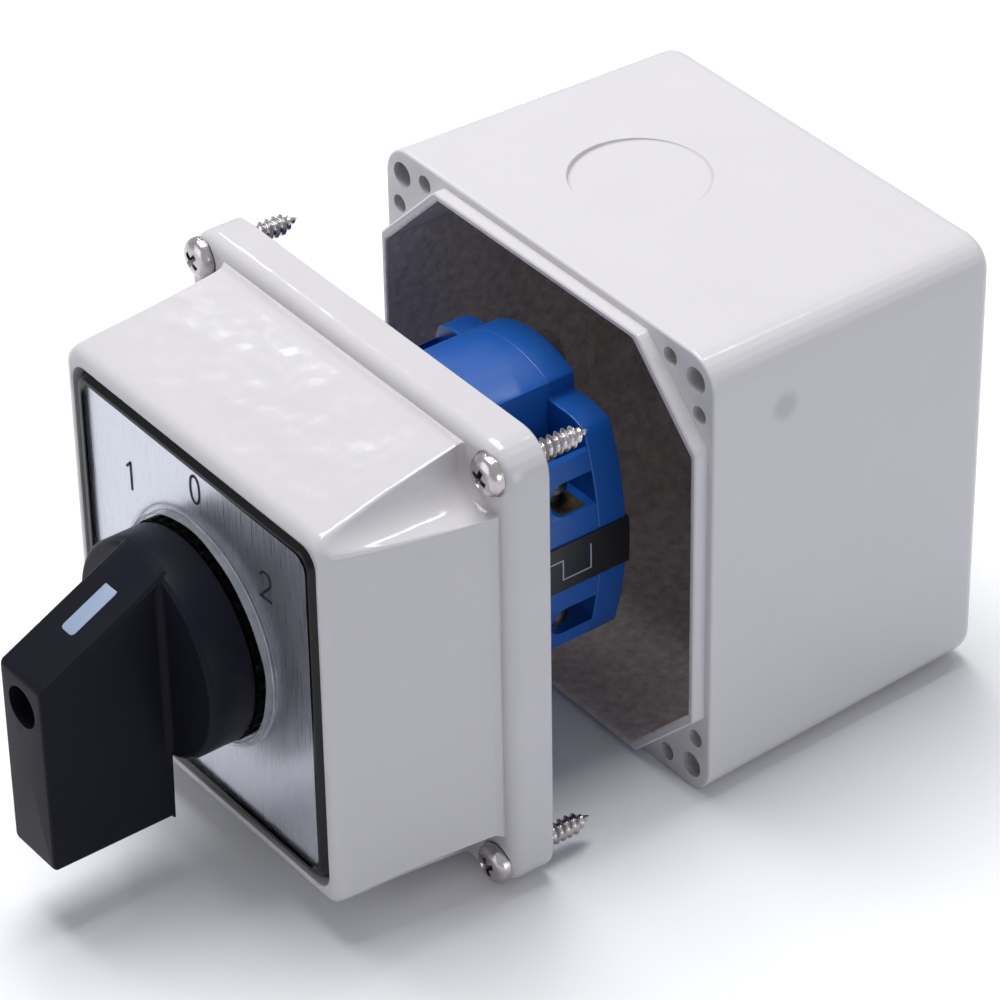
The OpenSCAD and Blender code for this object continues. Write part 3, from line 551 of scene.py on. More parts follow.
spots = [q * 90 + a for q in range(4) for a in (32.5, 57.5)]
angles = directions(144, spots, 2.5, 7)
angles = np.unique(np.concatenate([angles, directions(0, [45, 135, 225, 315], 11, 67)]))


def square_ring(half, radius, y):
    return ring(reach(square(half, radius), angles), angles, y)


def octagon_ring(half, y):
    return ring(reach(octagon(half, 2 * half - POST_LEG, POST_EDGE), angles), angles, y)


def side_half(y):
    """Half width of the box's drafted side at a place along Y."""
    return BACK_HALF + DRAFT * (BACK_Y - y) / (BACK_Y - RIM_Y)


def box_rings():
    """Rings from the back's middle outwards, over the rim and tongue, and in to the floor."""
    rings = [square_ring(BACK_HALF - BACK_EDGE_R - 1, CORNER_R - BACK_EDGE_R, BACK_Y)]
    for inset, drop in zip(*edge_arc(BACK_EDGE_R, 8)):
        y = BACK_Y - drop
        rings.append(square_ring(side_half(y) - inset, CORNER_R - inset, y))
    rings.append(square_ring(side_half(BACK_Y - BACK_EDGE_R - 1), CORNER_R, BACK_Y - BACK_EDGE_R - 1))
    rings.append(square_ring(side_half(RIM_Y + 1.2), CORNER_R, RIM_Y + 1.2))
    for inset, drop in reversed(list(zip(*edge_arc(RIM_EDGE, 4)))):
        rings.append(square_ring(BOX_HALF - inset, CORNER_R - inset, RIM_Y + drop))
    tip_y = RIM_Y - TONGUE_H
    return rings + [octagon_ring(half, y) for half, y in (
        (TONGUE_HALF, RIM_Y), (TONGUE_HALF, tip_y + 0.25), (TONGUE_HALF - 0.25, tip_y),
        (CAVITY_HALF + 0.25, tip_y), (CAVITY_HALF, tip_y + 0.25), (CAVITY_HALF, RIM_Y),
        (CAVITY_HALF - DRAFT, BACK_Y - BACK_WALL - 0.8),
        (CAVITY_HALF - DRAFT - 0.8, BACK_Y - BACK_WALL))]


# %% Box holes and the finished box
SCREW_X, SCREW_Z = 40.25, 40.0
CORE_FAR, CORE_NEAR = 41.25, 33.65
SCREW_HOLE_R, SCREW_HOLE_D = 2.4, 16
CORE_R, CORE_D = 1.7, 8
KNOCK_X, KNOCK_Y, KNOCK_R, KNOCK_D = -8.8, -34.3, 12.7, 0.6
WALL_HOLE, WALL_HOLE_R = 30.0, 2.25
RIB_OUT, RIB_Y, RIB_Z = 2.3, (-21.5, -20), (-24, -6)
Y_AXIS = (0, 1, 0)
four_corners = [(sx, sz) for sx in (1, -1) for sz in (1, -1)]


def box_cutters():
    """Screw and coring holes of the rim, wall holes, and the shallow discs of the knock-outs."""
    parts = []
    for sx, sz in four_corners:
        for x, z, r, depth in ((SCREW_X, SCREW_Z, SCREW_HOLE_R, SCREW_HOLE_D),
                               (CORE_NEAR, CORE_FAR, CORE_R, CORE_D),
                               (CORE_FAR, CORE_NEAR, CORE_R, CORE_D)):
            parts.append(bar((sx * x, RIM_Y, sz * z), Y_AXIS, r, -4, depth))
        parts.append(bar((sx * WALL_HOLE, BACK_Y, sz * WALL_HOLE), Y_AXIS, WALL_HOLE_R,
                         -BACK_WALL - 2, 2))
    face, tilt = side_half(KNOCK_Y), DRAFT / (BACK_Y - RIM_Y)
    for sz in (1, -1):
        parts.append(bar((KNOCK_X, KNOCK_Y, sz * face), (0, -sz * tilt, sz), KNOCK_R + 0.6, -KNOCK_D, 2,
                         96, KNOCK_R - 0.2))
    return build_mesh("box_cutters", joined(*parts))


def cuboid(low, high):
    """A block between two corners, as two square rings."""
    (x0, y0, z0), (x1, y1, z1) = low, high
    return loft([np.array([[x0, y, z0], [x1, y, z0], [x1, y, z1], [x0, y, z1]]) for y in (y0, y1)])


shell = carve(build_mesh("box_shell", loft(box_rings())), box_cutters())
rib = cuboid((-CAVITY_HALF - 1, RIB_Y[0], RIB_Z[0]), (-CAVITY_HALF + RIB_OUT, RIB_Y[1], RIB_Z[1]))
shell = carve(shell, build_mesh("rib", rib), operation="UNION")
add_piece("box_shell", shell, "enclosure", box_plastic, ["enclosure_box"])

# %% [markdown]
# ## Marks and painted shade on the box
#
# The box has a round ejector mark on its right side. Two more darkenings are painted shade: a
# line in the corner of each knock-out, and a mottled, browner inside that stands in for the shade
# and the warm bounced light in the box. All three could be painted by hand, but each is a simple
# region of space, so the colour is changed where the Object coordinates lie inside it, and the
# marks stay put in every view.

# %% Marks and painted shade on the box
EJECTOR_MARK, EJECTOR_R = (45.0, -46.4, 30.7), 3.6
# The two tones of the painted shade and warm bounced light inside the box.
INSIDE_SHADE_TONES = (0.50, 0.44, 0.41), (0.74, 0.67, 0.63)
INSIDE_SKIN = 0.6
spotted(box_plastic, EJECTOR_MARK, EJECTOR_R, 0.80)
# Painted shade: a dark line in the corner round each knock-out, where its recess is shaded.
paint_shade_ring(box_plastic, KNOCK_X, KNOCK_Y, KNOCK_R - 0.4, 0.45, 0.84)
# Painted shade and warm bounced light: the inside is mottled darker and browner than the outside.
painted_inside_shade(box_plastic, CAVITY_HALF + INSIDE_SKIN, 2 * CAVITY_HALF - POST_LEG + INSIDE_SKIN,
              BACK_Y - 1.5, INSIDE_SHADE_TONES)
print("nodes in the box's finish:", len(box_plastic.node_tree.nodes))

# %% [markdown]
# ## The cover
#
# The cover is a square flange with a raised front that leans inwards, a shallow recess for the
# dial and a scoop at each corner, where the screw heads sit. A scoop is the near side of a cone
# round the screw: wherever a direction crosses it, the outline stops short of it. The smaller of
# the two distances is taken with a soft minimum, so the edge of the scoop is rounded.

# %% Cover outlines
COVER_H = cover_high[1] - cover_low[1]
FLANGE_T = 8.6
FLANGE_R = 7.0
FLANGE_EDGE = 2.5
FOOT_HALF, FACE_HALF = 42.5, 37.3
SIDE_R = 4.0
FACE_EDGE = 2.2
LEDGE_FILLET = 1.8
SCOOP_FRONT_R, SCOOP_FOOT_R = 5.5, 7.5
RECESS_HALF = 34.65
RECESS_R = 3.4
RECESS_D = 3.5
COVER_WALL = 2.5
COVER_LEG, CEILING_LEG = 12.0, 3.65
NECK_HOLE_R = 9.3
TONGUE_GAP = 0.35
GROOVE_D = 3.4
LEDGE_Y = COVER_Y - FLANGE_T
CLOSED_GAP = 0.08
COVER_BACK = COVER_Y - CLOSED_GAP

scoop_at = np.array([[sx * SCREW_X, sz * SCREW_Z] for sx, sz in four_corners])


def soft_min(a, b, blend):
    """Smaller of two distances; where they are within a blend of each other it is rounded.

    The rounding takes blend/4 * (1 - |a - b| / blend)^2 off, the usual polynomial soft minimum.
    """
    h = np.clip(1 - np.abs(a - b) / blend, 0, 1)
    return np.minimum(a, b) - blend * h * h / 4


def front_half(y):
    """Half width of the raised front, leaning in from its foot to its face."""
    lean = (FOOT_HALF - FACE_HALF) / (COVER_H - FLANGE_T + FLANGE_EDGE)
    return FACE_HALF + lean * (y - FACE_Y)


def cone_reach(c, y, at):
    """Distance to the near side of the cone round one cover screw, in each direction.

    A ray u crosses a circle of centre c at dot(c, u) - sqrt(r^2 - cross(c, u)^2); a ray that
    passes it by is given a steeply growing distance, so a blend ends softly. The circle's
    radius r grows evenly from the face back to the flange, which draws each scoop to a point.
    """
    r = SCOOP_FRONT_R + (SCOOP_FOOT_R - SCOOP_FRONT_R) * (y - FACE_Y) / (LEDGE_Y - FACE_Y)
    ray = np.stack([np.cos(at), np.sin(at)], 1)
    along, off = ray @ c, np.abs(cross2(np.broadcast_to(c, ray.shape), ray))
    near = along - np.sqrt(np.maximum(r ** 2 - off ** 2, 0)) + 8 * np.maximum(off - r, 0)
    return np.where(along > 0, near, 1e3)


def scooped(outline, y):
    """Angles and distances of an outline held off the four cones.

    The side and the cone meet in a crease, at an angle t from the corner that changes from ring
    to ring. The shared angles are stretched, |a| * t / 7 up to 7 degrees and evenly back to
    themselves at 22, so one column of the loft runs along the crease and its edge stays clean.
    """
    fan = radians(45) + np.radians(np.linspace(0.3, 18, 300))
    t = np.degrees(fan - radians(45))[reach(outline, fan) <= cone_reach(scoop_at[0], y, fan)]
    t = max(t[0], 0.8)
    off = (np.degrees(angles) % 90) - 45
    size = np.interp(np.abs(off), [0, 7, 22, 45], [0, t, 22, 45])
    at = angles + np.radians(np.sign(off) * size - off)
    distance = reach(outline, at % TAU)
    for c in scoop_at:
        distance = soft_min(distance, cone_reach(c, y, at), 0.9)
    return distance, at


def inner_half(y):
    """Half width of the cover's inside, parallel to the raised front."""
    deep = min(y, COVER_Y - FLANGE_T)
    lean = (FOOT_HALF - FACE_HALF) / (COVER_H - FLANGE_T)
    return FACE_HALF - COVER_WALL + lean * (deep - FACE_Y)


# %% Cover rings
RECESS_Y = FACE_Y + RECESS_D
CEILING_Y = RECESS_Y + COVER_WALL


def front_ring(inset, y):
    outline = square(front_half(y) - inset, SIDE_R - min(inset, SIDE_R - 0.8))
    return ring(*scooped(outline, y), y)


def cavity_ring(y):
    half = inner_half(y)
    cut = 2 * inner_half(COVER_Y) - COVER_LEG
    return ring(reach(octagon(half, cut, 1.0), angles), angles, y)


def cover_rings():
    """Rings from the neck hole over the recess, the face, the flange and back along the inside."""
    rings = [ring(NECK_HOLE_R, angles, RECESS_Y)]
    rings += [square_ring(RECESS_HALF + out, RECESS_R + turn, y) for out, turn, y in (
        (-1.2, -0.6, RECESS_Y), (-0.3, -0.3, RECESS_Y), (0, 0, RECESS_Y - 0.3),
        (0, 0, FACE_Y + 0.35), (0.1, 0.1, FACE_Y + 0.1), (0.35, 0.1, FACE_Y))]
    for inset, drop in zip(*edge_arc(FACE_EDGE, 8)):
        rings.append(front_ring(inset, FACE_Y + drop))
    for y in np.linspace(FACE_Y + FACE_EDGE + 1, LEDGE_Y - LEDGE_FILLET, 14):
        rings.append(front_ring(0, y))
    edge = square(BOX_HALF - FLANGE_EDGE, FLANGE_R - FLANGE_EDGE)
    for a in np.linspace(0, pi / 2, 7)[1:]:
        y = LEDGE_Y - LEDGE_FILLET * (1 - sin(a))
        foot, at = scooped(square(front_half(y), SIDE_R), y)
        limit = reach(edge, at % TAU) - 0.05
        rings.append(ring(np.minimum(foot + LEDGE_FILLET * (1 - cos(a)), limit), at, y))
    for inset, drop in zip(*edge_arc(FLANGE_EDGE, 9)):
        rings.append(square_ring(BOX_HALF - inset, FLANGE_R - inset, LEDGE_Y + drop))
    rings += [square_ring(BOX_HALF - inset, FLANGE_R - inset, y) for inset, y in (
        (0, LEDGE_Y + FLANGE_EDGE + 0.8), (0, COVER_BACK - 0.4), (0.4, COVER_BACK))]
    outer, inner = TONGUE_HALF + TONGUE_GAP, CAVITY_HALF - TONGUE_GAP
    groove_y = COVER_BACK - GROOVE_D
    rings += [octagon_ring(half, y) for half, y in (
        (outer, COVER_BACK), (outer, groove_y), (inner, groove_y), (inner, COVER_BACK))]
    rings += [cavity_ring(y) for y in (COVER_BACK, LEDGE_Y, CEILING_Y + 0.8)]
    half = inner_half(CEILING_Y) - 0.8
    rings.append(ring(reach(octagon(half, 2 * half - CEILING_LEG, 1.0), angles), angles, CEILING_Y))
    rings.append(ring(NECK_HOLE_R, angles, CEILING_Y))
    return rings


# %% Cover holes and the finished cover
MOUNT_XZ, MOUNT_HOLE_R = 17.0, 1.8
THREAD_R = 1.95
SEAT_R = 4.0


def cover_cutters():
    """Holes for the four cover screws and the four screws that hold the switch."""
    parts = []
    for sx, sz in four_corners:
        seat = (sx * SCREW_X, LEDGE_Y, sz * SCREW_Z)
        parts += [bar(seat, Y_AXIS, SEAT_R, -3, 0.3), bar(seat, Y_AXIS, THREAD_R + 0.05, -1, 12),
                  bar((sx * MOUNT_XZ, RECESS_Y, sz * MOUNT_XZ), Y_AXIS, MOUNT_HOLE_R, -1, 6)]
    return parts


shell = build_mesh("cover_shell", loft(cover_rings(), closed=True))
for step, part in enumerate(cover_cutters()):
    shell = carve(shell, build_mesh(f"cover_cutter_{step}", part))
add_piece("cover_shell", shell, "cover", cover_plastic, ["cover"])

# %% [markdown]
# ## The cover screws
#
# Each screw is a pan head with a cross recess on a real helical thread. The shank is a grid of
# rings whose radius depends on the phase y / pitch - angle / turn: where the phase is near a
# half the thread's ridge stands out, so the ridge climbs by one pitch each turn. The head's
# profile is turned round the same axis, and two crossed wedges cut the recess.

# %% Screw shapes
PAN_R, PAN_H = 3.7, 2.7
THREAD_CORE = 1.4
THREAD_PITCH = 1.4
SCREW_L = 19.2
HEAD_Y = LEDGE_Y + 0.3


def thread(radius, core, pitch, start, length, tip, rows_per_turn=20, sides=36):
    """Threaded shank along Y from start: ring radius = core + ridge of the phase, drawn to a tip.

    ridge = (radius - core) * max(0, 1 - |phase - 1/2| / 0.32), and the whole radius shrinks
    linearly to a point over the last stretch.
    """
    y = np.linspace(0, length, int(rows_per_turn * length / pitch))[:, None]
    a = (np.arange(sides) * TAU / sides)[None, :]
    phase = (y / pitch - a / TAU) % 1
    ridge = np.clip(1 - np.abs(phase - 0.5) / 0.32, 0, 1) * np.clip(y / pitch, 0, 1)
    taper = np.clip((length - y) / tip, 0.03, 1) ** 0.8
    r = (core + (radius - core) * ridge) * taper
    grid = np.stack([r * np.cos(a), start + y + 0 * a, r * np.sin(a)], 2)
    return loft(list(grid))


def turned(profile, sides=64):
    """Solid turned round the Y axis: a circle for each (radius, y) of a profile from pole to pole."""
    a = np.arange(sides) * TAU / sides
    return loft([ring(r, a, y) for r, y in profile])


def pan_head(radius, height, y):
    """Half profile of a pan head: x = sin t, y = 1 - cos t squared up, over a straight skirt."""
    t = np.linspace(0.05, pi / 2, 12)
    crown = [(radius * sin(v) ** 0.85, y - height * (0.28 + 0.72 * cos(v) ** 0.9)) for v in t]
    return turned(crown + [(radius, y - 0.15), (radius - 0.15, y), (0.05, y)])


def cross_cutter(y, size, width, depth):
    """Two crossed wedges that narrow with depth, for the recess of a screw head."""
    levels = ((-1, size / 2, width / 2), (depth, size * 0.28, width * 0.36))
    wedge = [np.stack([half * SQUARE[:, 1], np.full(4, y + down), thin * SQUARE[:, 0]], 1)
             for down, half, thin in levels]
    return [loft(wedge), loft([r[:, ::-1] for r in wedge])]


def merged(name, meshes):
    """Several meshes joined into one."""
    bm = bmesh.new()
    for mesh in meshes:
        bm.from_mesh(mesh)
    result = bpy.data.meshes.new(name)
    bm.to_mesh(result)
    bm.free()
    return smoothed(result)


def screw(head, shank, recess_at, size, width, depth, turn):
    """A head with its cross recess, turned about Y, joined to its shank."""
    mesh = build_mesh("head", head)
    for wedge in cross_cutter(recess_at, size, width, depth):
        mesh = carve(mesh, build_mesh("wedge", wedge))
    mesh.transform(Matrix.Rotation(radians(turn), 4, "Y"))
    return merged("screw", [mesh, build_mesh("shank", shank)])


def placed(mesh, offset):
    copy = mesh.copy()
    copy.transform(Matrix.Translation(Vector(offset) * MM))
    return copy


# %% The four cover screws
TIP_L = 3.2
CROSS_SIZE, CROSS_W, CROSS_D = 4.3, 1.15, 1.7
SCREW_TURNS = (20, 65, 38, 5)
screws = []
for turn, (sx, sz) in zip(SCREW_TURNS, four_corners):
    one = screw(pan_head(PAN_R, PAN_H, HEAD_Y),
                thread(THREAD_R, THREAD_CORE, THREAD_PITCH, HEAD_Y - 0.3, SCREW_L + 0.3, TIP_L),
                HEAD_Y - PAN_H, CROSS_SIZE, CROSS_W, CROSS_D, turn)
    screws.append(placed(one, (sx * SCREW_X, 0, sz * SCREW_Z)))
add_piece("cover_screw_set", merged("cover_screw_set", screws), "cover", bright_steel,
          ["cover_screws"])

# %% [markdown]
# ## The dial
#
# A black frame with a chamfered edge holds a brushed plate under a clear sheet. The frame is a
# closed loft that runs round its own section, from the neck hole over the pocket and the chamfer
# and back. The numbers are thin printed strokes, each a band of one width along its own path.

# %% Dial frame
FRAME_HALF = frame_high[0]
FRAME_R = 3.9
FRAME_FRONT = frame_low[1]
plate_low, plate_high = node_box("label_plate")
PLATE_HALF = plate_high[0]
PLATE_R = 2.9
PLATE_BACK = plate_high[1]
PLATE_FRONT = plate_low[1]
FRAME_BORE = 12.2
CHAMFER = ((1.35, 0), (1.15, 0.05), (1.0, 0.2), (0.2, 1.15), (0.05, 1.4), (0, 1.7))


def frame_rings():
    """Closed section: bore, pocket floor, pocket wall, rim, steep chamfer, side and back."""
    pocket = PLATE_HALF + 0.05
    rings = [ring(FRAME_BORE, angles, PLATE_BACK), square_ring(pocket, PLATE_R, PLATE_BACK),
             square_ring(pocket, PLATE_R, FRAME_FRONT + 0.15),
             square_ring(pocket + 0.15, PLATE_R + 0.1, FRAME_FRONT)]
    rings += [square_ring(FRAME_HALF - inset, FRAME_R - inset, y) for inset, y in (
        *((inset, FRAME_FRONT + drop) for inset, drop in CHAMFER),
        (0, RECESS_Y - 0.15), (0.15, RECESS_Y))]
    return rings + [ring(FRAME_BORE, angles, RECESS_Y)]


add_piece("dial_frame_rim", loft(frame_rings(), closed=True), "cover", gloss_black,
          ["dial_frame"])

# %% Clear sheet with its raised lip
sheet_low, sheet_high = node_box("label_window")
SHEET_BACK, LIP_FRONT = sheet_high[1], sheet_low[1]
SHEET_T = 0.45
LIP_R, LIP_T = 20.3, 0.7
# Width and density of the two lip lines, whose pale grey is a painted highlight.
HIGHLIGHT_LINE_W, HIGHLIGHT_LINE_SHARE = 0.16, 0.5


def lip_waver(a, amount):
    """Slow uneven wave round the lip, from three sines of unrelated counts."""
    return amount * (np.sin(5 * a + 1.0) + 0.7 * np.sin(9 * a + 0.4) + 0.4 * np.sin(14 * a)) / 2.1


def window_rings():
    """Closed section: hole, back, outer edge, front and the lip that stands round the hole."""
    front = SHEET_BACK - SHEET_T
    half = PLATE_HALF - 0.2
    r0, r1 = LIP_R, LIP_R + LIP_T
    top = LIP_FRONT + 0.15 + lip_waver(angles, 0.15)
    return [ring(r0, angles, SHEET_BACK), square_ring(half - 0.1, PLATE_R, SHEET_BACK),
            square_ring(half, PLATE_R, SHEET_BACK - 0.1), square_ring(half, PLATE_R, front + 0.1),
            square_ring(half - 0.1, PLATE_R, front),
            ring(r1 + 0.9 + lip_waver(angles, 0.2), angles, front),
            ring(r1 + 0.25 + lip_waver(angles, 0.15), angles, front - 0.25),
            ring(r1, angles, top + 0.25), ring(r1 - 0.2, angles, top), ring(r0 + 0.2, angles, top),
            ring(r0, angles, top + 0.2)]


def clear_finish():
    """Clear plastic: nearly see-through where it is flat, with two dense lines along the lip.

    A point lies on a line where its distance from the axis is within HIGHLIGHT_LINE_W of one of two
    radii; there HIGHLIGHT_LINE_SHARE of the surface shows, over the little that shows everywhere.
    The lines let the real gloss show, and their pale grey is a painted highlight on the lip's folds.
    The grey that wavers with the noise is a painted reflection; the same noise makes the bump.
    """
    material, tree, shader = new_finish("clear_plastic", Roughness=0.05, IOR=1.49)
    radius = away_from(tree, (0, 0, 0), (1, 0, 1))
    # Painted highlight: two lines of denser, pale plastic along the lip stand in for the glints on its
    # folds.
    highlight_lines = [maths(tree, "COMPARE", radius, r, HIGHLIGHT_LINE_W) for r in (LIP_R + 0.15, LIP_R + LIP_T + 0.5)]
    flesh = add_node(tree, "MapRange", Value=radius, From_Min=LIP_R + LIP_T + 0.7,
                     From_Max=LIP_R + LIP_T + 1.6, To_Min=0.09, To_Max=0.03).outputs[0]
    # Painted reflection: the lip's grey wavers with this noise, which also makes its bump.
    ripples_and_reflection = noise(tree, piece_coordinates(tree), 0.35, 2)
    wire(shader, Alpha=maths(tree, "MULTIPLY_ADD", maths(tree, "MAXIMUM", *highlight_lines), HIGHLIGHT_LINE_SHARE, flesh),
         Base_Color=tinted(tree, ripples_and_reflection, (0.35, 0.37, 0.42), (0.70, 0.71, 0.74)))
    add_bump(tree, shader, ripples_and_reflection, 0.35)
    return material


add_piece("dial_window", loft(window_rings(), closed=True), "cover", clear_finish(),
          ["label_window"])

# %% Printed numbers
DIGIT_RING = 27.5
DIGIT_H = 5.7
STROKE = 0.46
PRINT_T = 0.10


def band(path, width, y0, y1, closed=False):
    """Flat stroke: the path moved half a width to each side along its normal, between two planes."""
    p = np.asarray(path, float)
    if closed:
        along = np.roll(p, -1, 0) - np.roll(p, 1, 0)
    else:
        along = np.gradient(p, axis=0)
    along /= np.linalg.norm(along, axis=1)[:, None]
    side = np.stack([-along[:, 1], along[:, 0]], 1) * width / 2
    edges = [np.insert(q, 1, y, axis=1)
             for q, y in ((p + side, y0), (p + side, y1), (p - side, y1), (p - side, y0))]
    return loft(np.stack(edges, 1), closed=closed)


def digit_one(h):
    flag = np.linspace([-1.15, 0.74 * h], [0.1, h - STROKE / 3], 6)
    stem = np.linspace([0.1, 0], [0.1, h], 4)
    return [(stem, False), (flag, False)]


def digit_zero(h):
    """Upright oval: x = a cos t, z = b sin t, squared a little by the power 0.85."""
    t = np.arange(48) * TAU / 48
    c, s = np.cos(t), np.sin(t)
    a, b = 1.5 - STROKE / 2, h / 2 - STROKE / 2
    x, z = a * np.sign(c) * np.abs(c) ** 0.85, b * np.sign(s) * np.abs(s) ** 0.85
    return [(np.stack([x, z + h / 2], 1), True)]


def digit_two(h):
    """A hook of a circle that runs on into a slant, over a flat foot."""
    r = 1.45
    t = np.radians(np.linspace(165, -35, 20))
    hook = np.stack([r * np.cos(t), h - STROKE / 2 - r + r * np.sin(t)], 1)
    slant = np.linspace(hook[-1], [-1.45, STROKE / 2], 8)[1:]
    foot = np.linspace([-1.75, STROKE / 2], [1.75, STROKE / 2], 4)
    return [(np.vstack([hook, slant]), False), (foot, False)]


numbers = []
for k, digit in enumerate((digit_one, digit_zero, digit_two)):
    turn = radians(45 * (k - 1))
    centre = np.array([DIGIT_RING * sin(turn), DIGIT_RING * cos(turn) - DIGIT_H / 2])
    for path, loop in digit(DIGIT_H):
        numbers.append(band(path + centre, STROKE, PLATE_FRONT - PRINT_T, PLATE_FRONT, loop))
add_piece("dial_print", joined(*numbers), "cover", dial_ink, ["dial_numerals"])

# %% [markdown]
# ## The handle
#
# The handle is one black moulding: a disc with a thick blade standing out of it. The disc is
# turned. The blade is a loft of rounded rectangles from its outer end back to the disc. Its top
# climbs along a slope and is crowned near the disc, and its foot ends in a thin fin of flash. A
# cove, a strip with a quarter-round hollow, lies in each corner between blade and disc, and a
# boolean union makes one skin of them.

# %% Handle sizes and blade
DISC_R = handle_high[0]
DISC_BACK = handle_high[1]
DISC_T, DISC_EDGE = 8.6, 1.1
DISC_FRONT = DISC_BACK - DISC_T
BLADE_END = handle_low[1]
BLADE_HALF = 6.15
BLADE_LOW = handle_low[2]
TIP_UP, ROOT_UP = 6.2, 18.3
BLADE_EDGE = 0.75
FIN_D = 0.7
CROWN_L = 6
COVE_R, COVE_LOW, COVE_HIGH = 1.5, -18.0, 17.9
HOLLOW_OUT, HOLLOW_IN, HOLLOW_D = 17.8, 11.0, 5
POCKET_R, POCKET_D = 3.85, 12.0
slope = atan2(ROOT_UP - TIP_UP, DISC_FRONT - BLADE_END)


def rectangle(x, z0, z1, radius, y, steps=5, along=14):
    """Upright rectangle with rounded corners as one ring, with points along its straight sides."""
    p = rounded_polygon([[x, z0], [x, z1], [-x, z1], [-x, z0]], radius, steps)
    count = np.where(np.arange(len(p)) % steps == steps - 1, along, 1)
    first = np.repeat(np.cumsum(count) - count, count)
    share = (np.arange(count.sum()) - first) / np.repeat(count, count)
    p = np.repeat(p, count, 0) + np.repeat(np.roll(p, -1, 0) - p, count, 0) * share[:, None]
    return np.insert(p, 1, y, axis=1)


def blade_top(y):
    return TIP_UP + tan(slope) * (y - BLADE_END)


def crowned(points, strength):
    """Raises a ring's top into an arc that runs along the disc's rim.

    A point x off the middle rises by sqrt(R^2 - x^2) - sqrt(R^2 - w^2), w being half the blade.
    """
    arc = np.sqrt(DISC_R ** 2 - points[:, 0] ** 2) - np.sqrt(DISC_R ** 2 - BLADE_HALF ** 2)
    top = np.clip(points[:, 2] - points[:, 2].max() + 1, 0, 1)
    return points + np.stack([0 * arc, 0 * arc, strength * arc * top], 1)


def blade_rings():
    """Rounded rectangles from the outer end to the root, each as high as the slope at its place.

    The top is flat for most of its length and crowned near the disc, where it runs out over
    the disc's rounded edge. The foot ends in a thin fin at the back.
    """
    rings = []
    for inset, drop in zip(*edge_arc(BLADE_EDGE, 6)):
        y = BLADE_END + drop
        rings.append(rectangle(BLADE_HALF - inset, BLADE_LOW + inset, blade_top(y) - inset,
                               BLADE_EDGE, y))
    for y in (BLADE_END + 1.6, BLADE_END + 8, BLADE_END + 14, DISC_FRONT - 6, DISC_FRONT - 3,
              DISC_FRONT - 1.6):
        rings.append(rectangle(BLADE_HALF, BLADE_LOW, blade_top(y), BLADE_EDGE, y))
    for y, low in ((DISC_FRONT - 0.6, 0), (DISC_FRONT - 0.5, 0.1), (DISC_FRONT - 0.05, FIN_D)):
        rings.append(rectangle(BLADE_HALF, BLADE_LOW - low, blade_top(y), BLADE_EDGE, y))
    for y in (DISC_FRONT + 0.2, DISC_FRONT + 1.4):
        rings.append(rectangle(BLADE_HALF, -DISC_R * 0.8, blade_top(y), BLADE_EDGE, y))
    return [crowned(r, np.clip(1 - (DISC_FRONT - r[0, 1]) / CROWN_L, 0, 1)) for r in rings]


# %% Disc, coves and the finished handle
def disc_profile():
    """Pole to pole: round front edge, side, small back edge and the hollow ring behind."""
    front = [(0.05, DISC_FRONT), (DISC_R - DISC_EDGE - 1, DISC_FRONT)]
    front += [(DISC_R - i, DISC_FRONT + d) for i, d in zip(*edge_arc(DISC_EDGE, 10))]
    front += [(DISC_R, DISC_FRONT + DISC_EDGE + 0.6), (DISC_R, DISC_BACK - 0.5),
              (DISC_R - 0.3, DISC_BACK)]
    hollow = [(HOLLOW_OUT, DISC_BACK), (HOLLOW_OUT - 0.2, DISC_BACK - HOLLOW_D),
              (HOLLOW_IN + 0.2, DISC_BACK - HOLLOW_D), (HOLLOW_IN, DISC_BACK)]
    return front + hollow + [(0.05, DISC_BACK)]


def cove(side, z0, z1, radius, count=24):
    """Strip in the corner of blade and disc: a concave quarter circle that fades at both ends."""
    t = np.linspace(0, pi / 2, 8)
    rings = []
    for z in np.linspace(z0, z1, count):
        ends = min(z - z0, z1 - z) / 2.5
        r = radius * min(1.0, 0.15 + 0.85 * sin(min(ends, 1.0) * pi / 2))
        x = BLADE_HALF - 0.02 + r - r * np.sin(t)
        y = DISC_FRONT + 0.02 - r + r * np.cos(t)
        x = np.concatenate([x, [BLADE_HALF - 0.6, BLADE_HALF - 0.6, x[0]]])
        y = np.concatenate([y, [y[-1], DISC_FRONT + 0.6, DISC_FRONT + 0.6]])
        rings.append(np.stack([side * x, y, np.full(len(x), z)], 1))
    return loft(rings)


body = build_mesh("disc", turned(disc_profile(), 128))
for part in (loft(blade_rings()), *(cove(s, COVE_LOW, COVE_HIGH, COVE_R) for s in (1, -1))):
    body = carve(body, build_mesh("part", part), operation="UNION")
body = carve(body, build_mesh("pocket", bar((0, BLADE_END, 0), Y_AXIS, POCKET_R, -1, POCKET_D)))
add_piece("handle_body", body, "rotor", handle_black, ["handle"])

# %% [markdown]
# ## The pointer
#
# A pale strip is pressed into the blade's sloping top. It is a rounded rectangle with a softly
# rounded upper edge, laid along the slope.

# %% Pointer
POINTER_L, POINTER_W, POINTER_T = 12.6, 3.6, 0.6
POINTER_FROM, POINTER_R = 3.4, 0.9


def pointer_part():
    """Rounded rectangle rings, smaller at the top edge, turned onto the slope."""
    rings = []
    for inset, drop in [(0, POINTER_T)] + list(zip(*edge_arc(0.25, 4)))[::-1]:
        outline = rounded_polygon(SQUARE * [POINTER_L / 2 - inset, POINTER_W / 2 - inset],
                                  POINTER_R - inset, 7)
        rings.append(np.stack([outline[:, 1], outline[:, 0], np.full(len(outline), 0.08 - drop)], 1))
    points, faces = loft(rings)
    c, s = cos(slope), sin(slope)
    middle_y = DISC_FRONT - POINTER_FROM - POINTER_L / 2 * c
    y, z = points[:, 1] * c - points[:, 2] * s, points[:, 1] * s + points[:, 2] * c
    return np.stack([points[:, 0], y + middle_y, z + blade_top(middle_y)], 1), faces


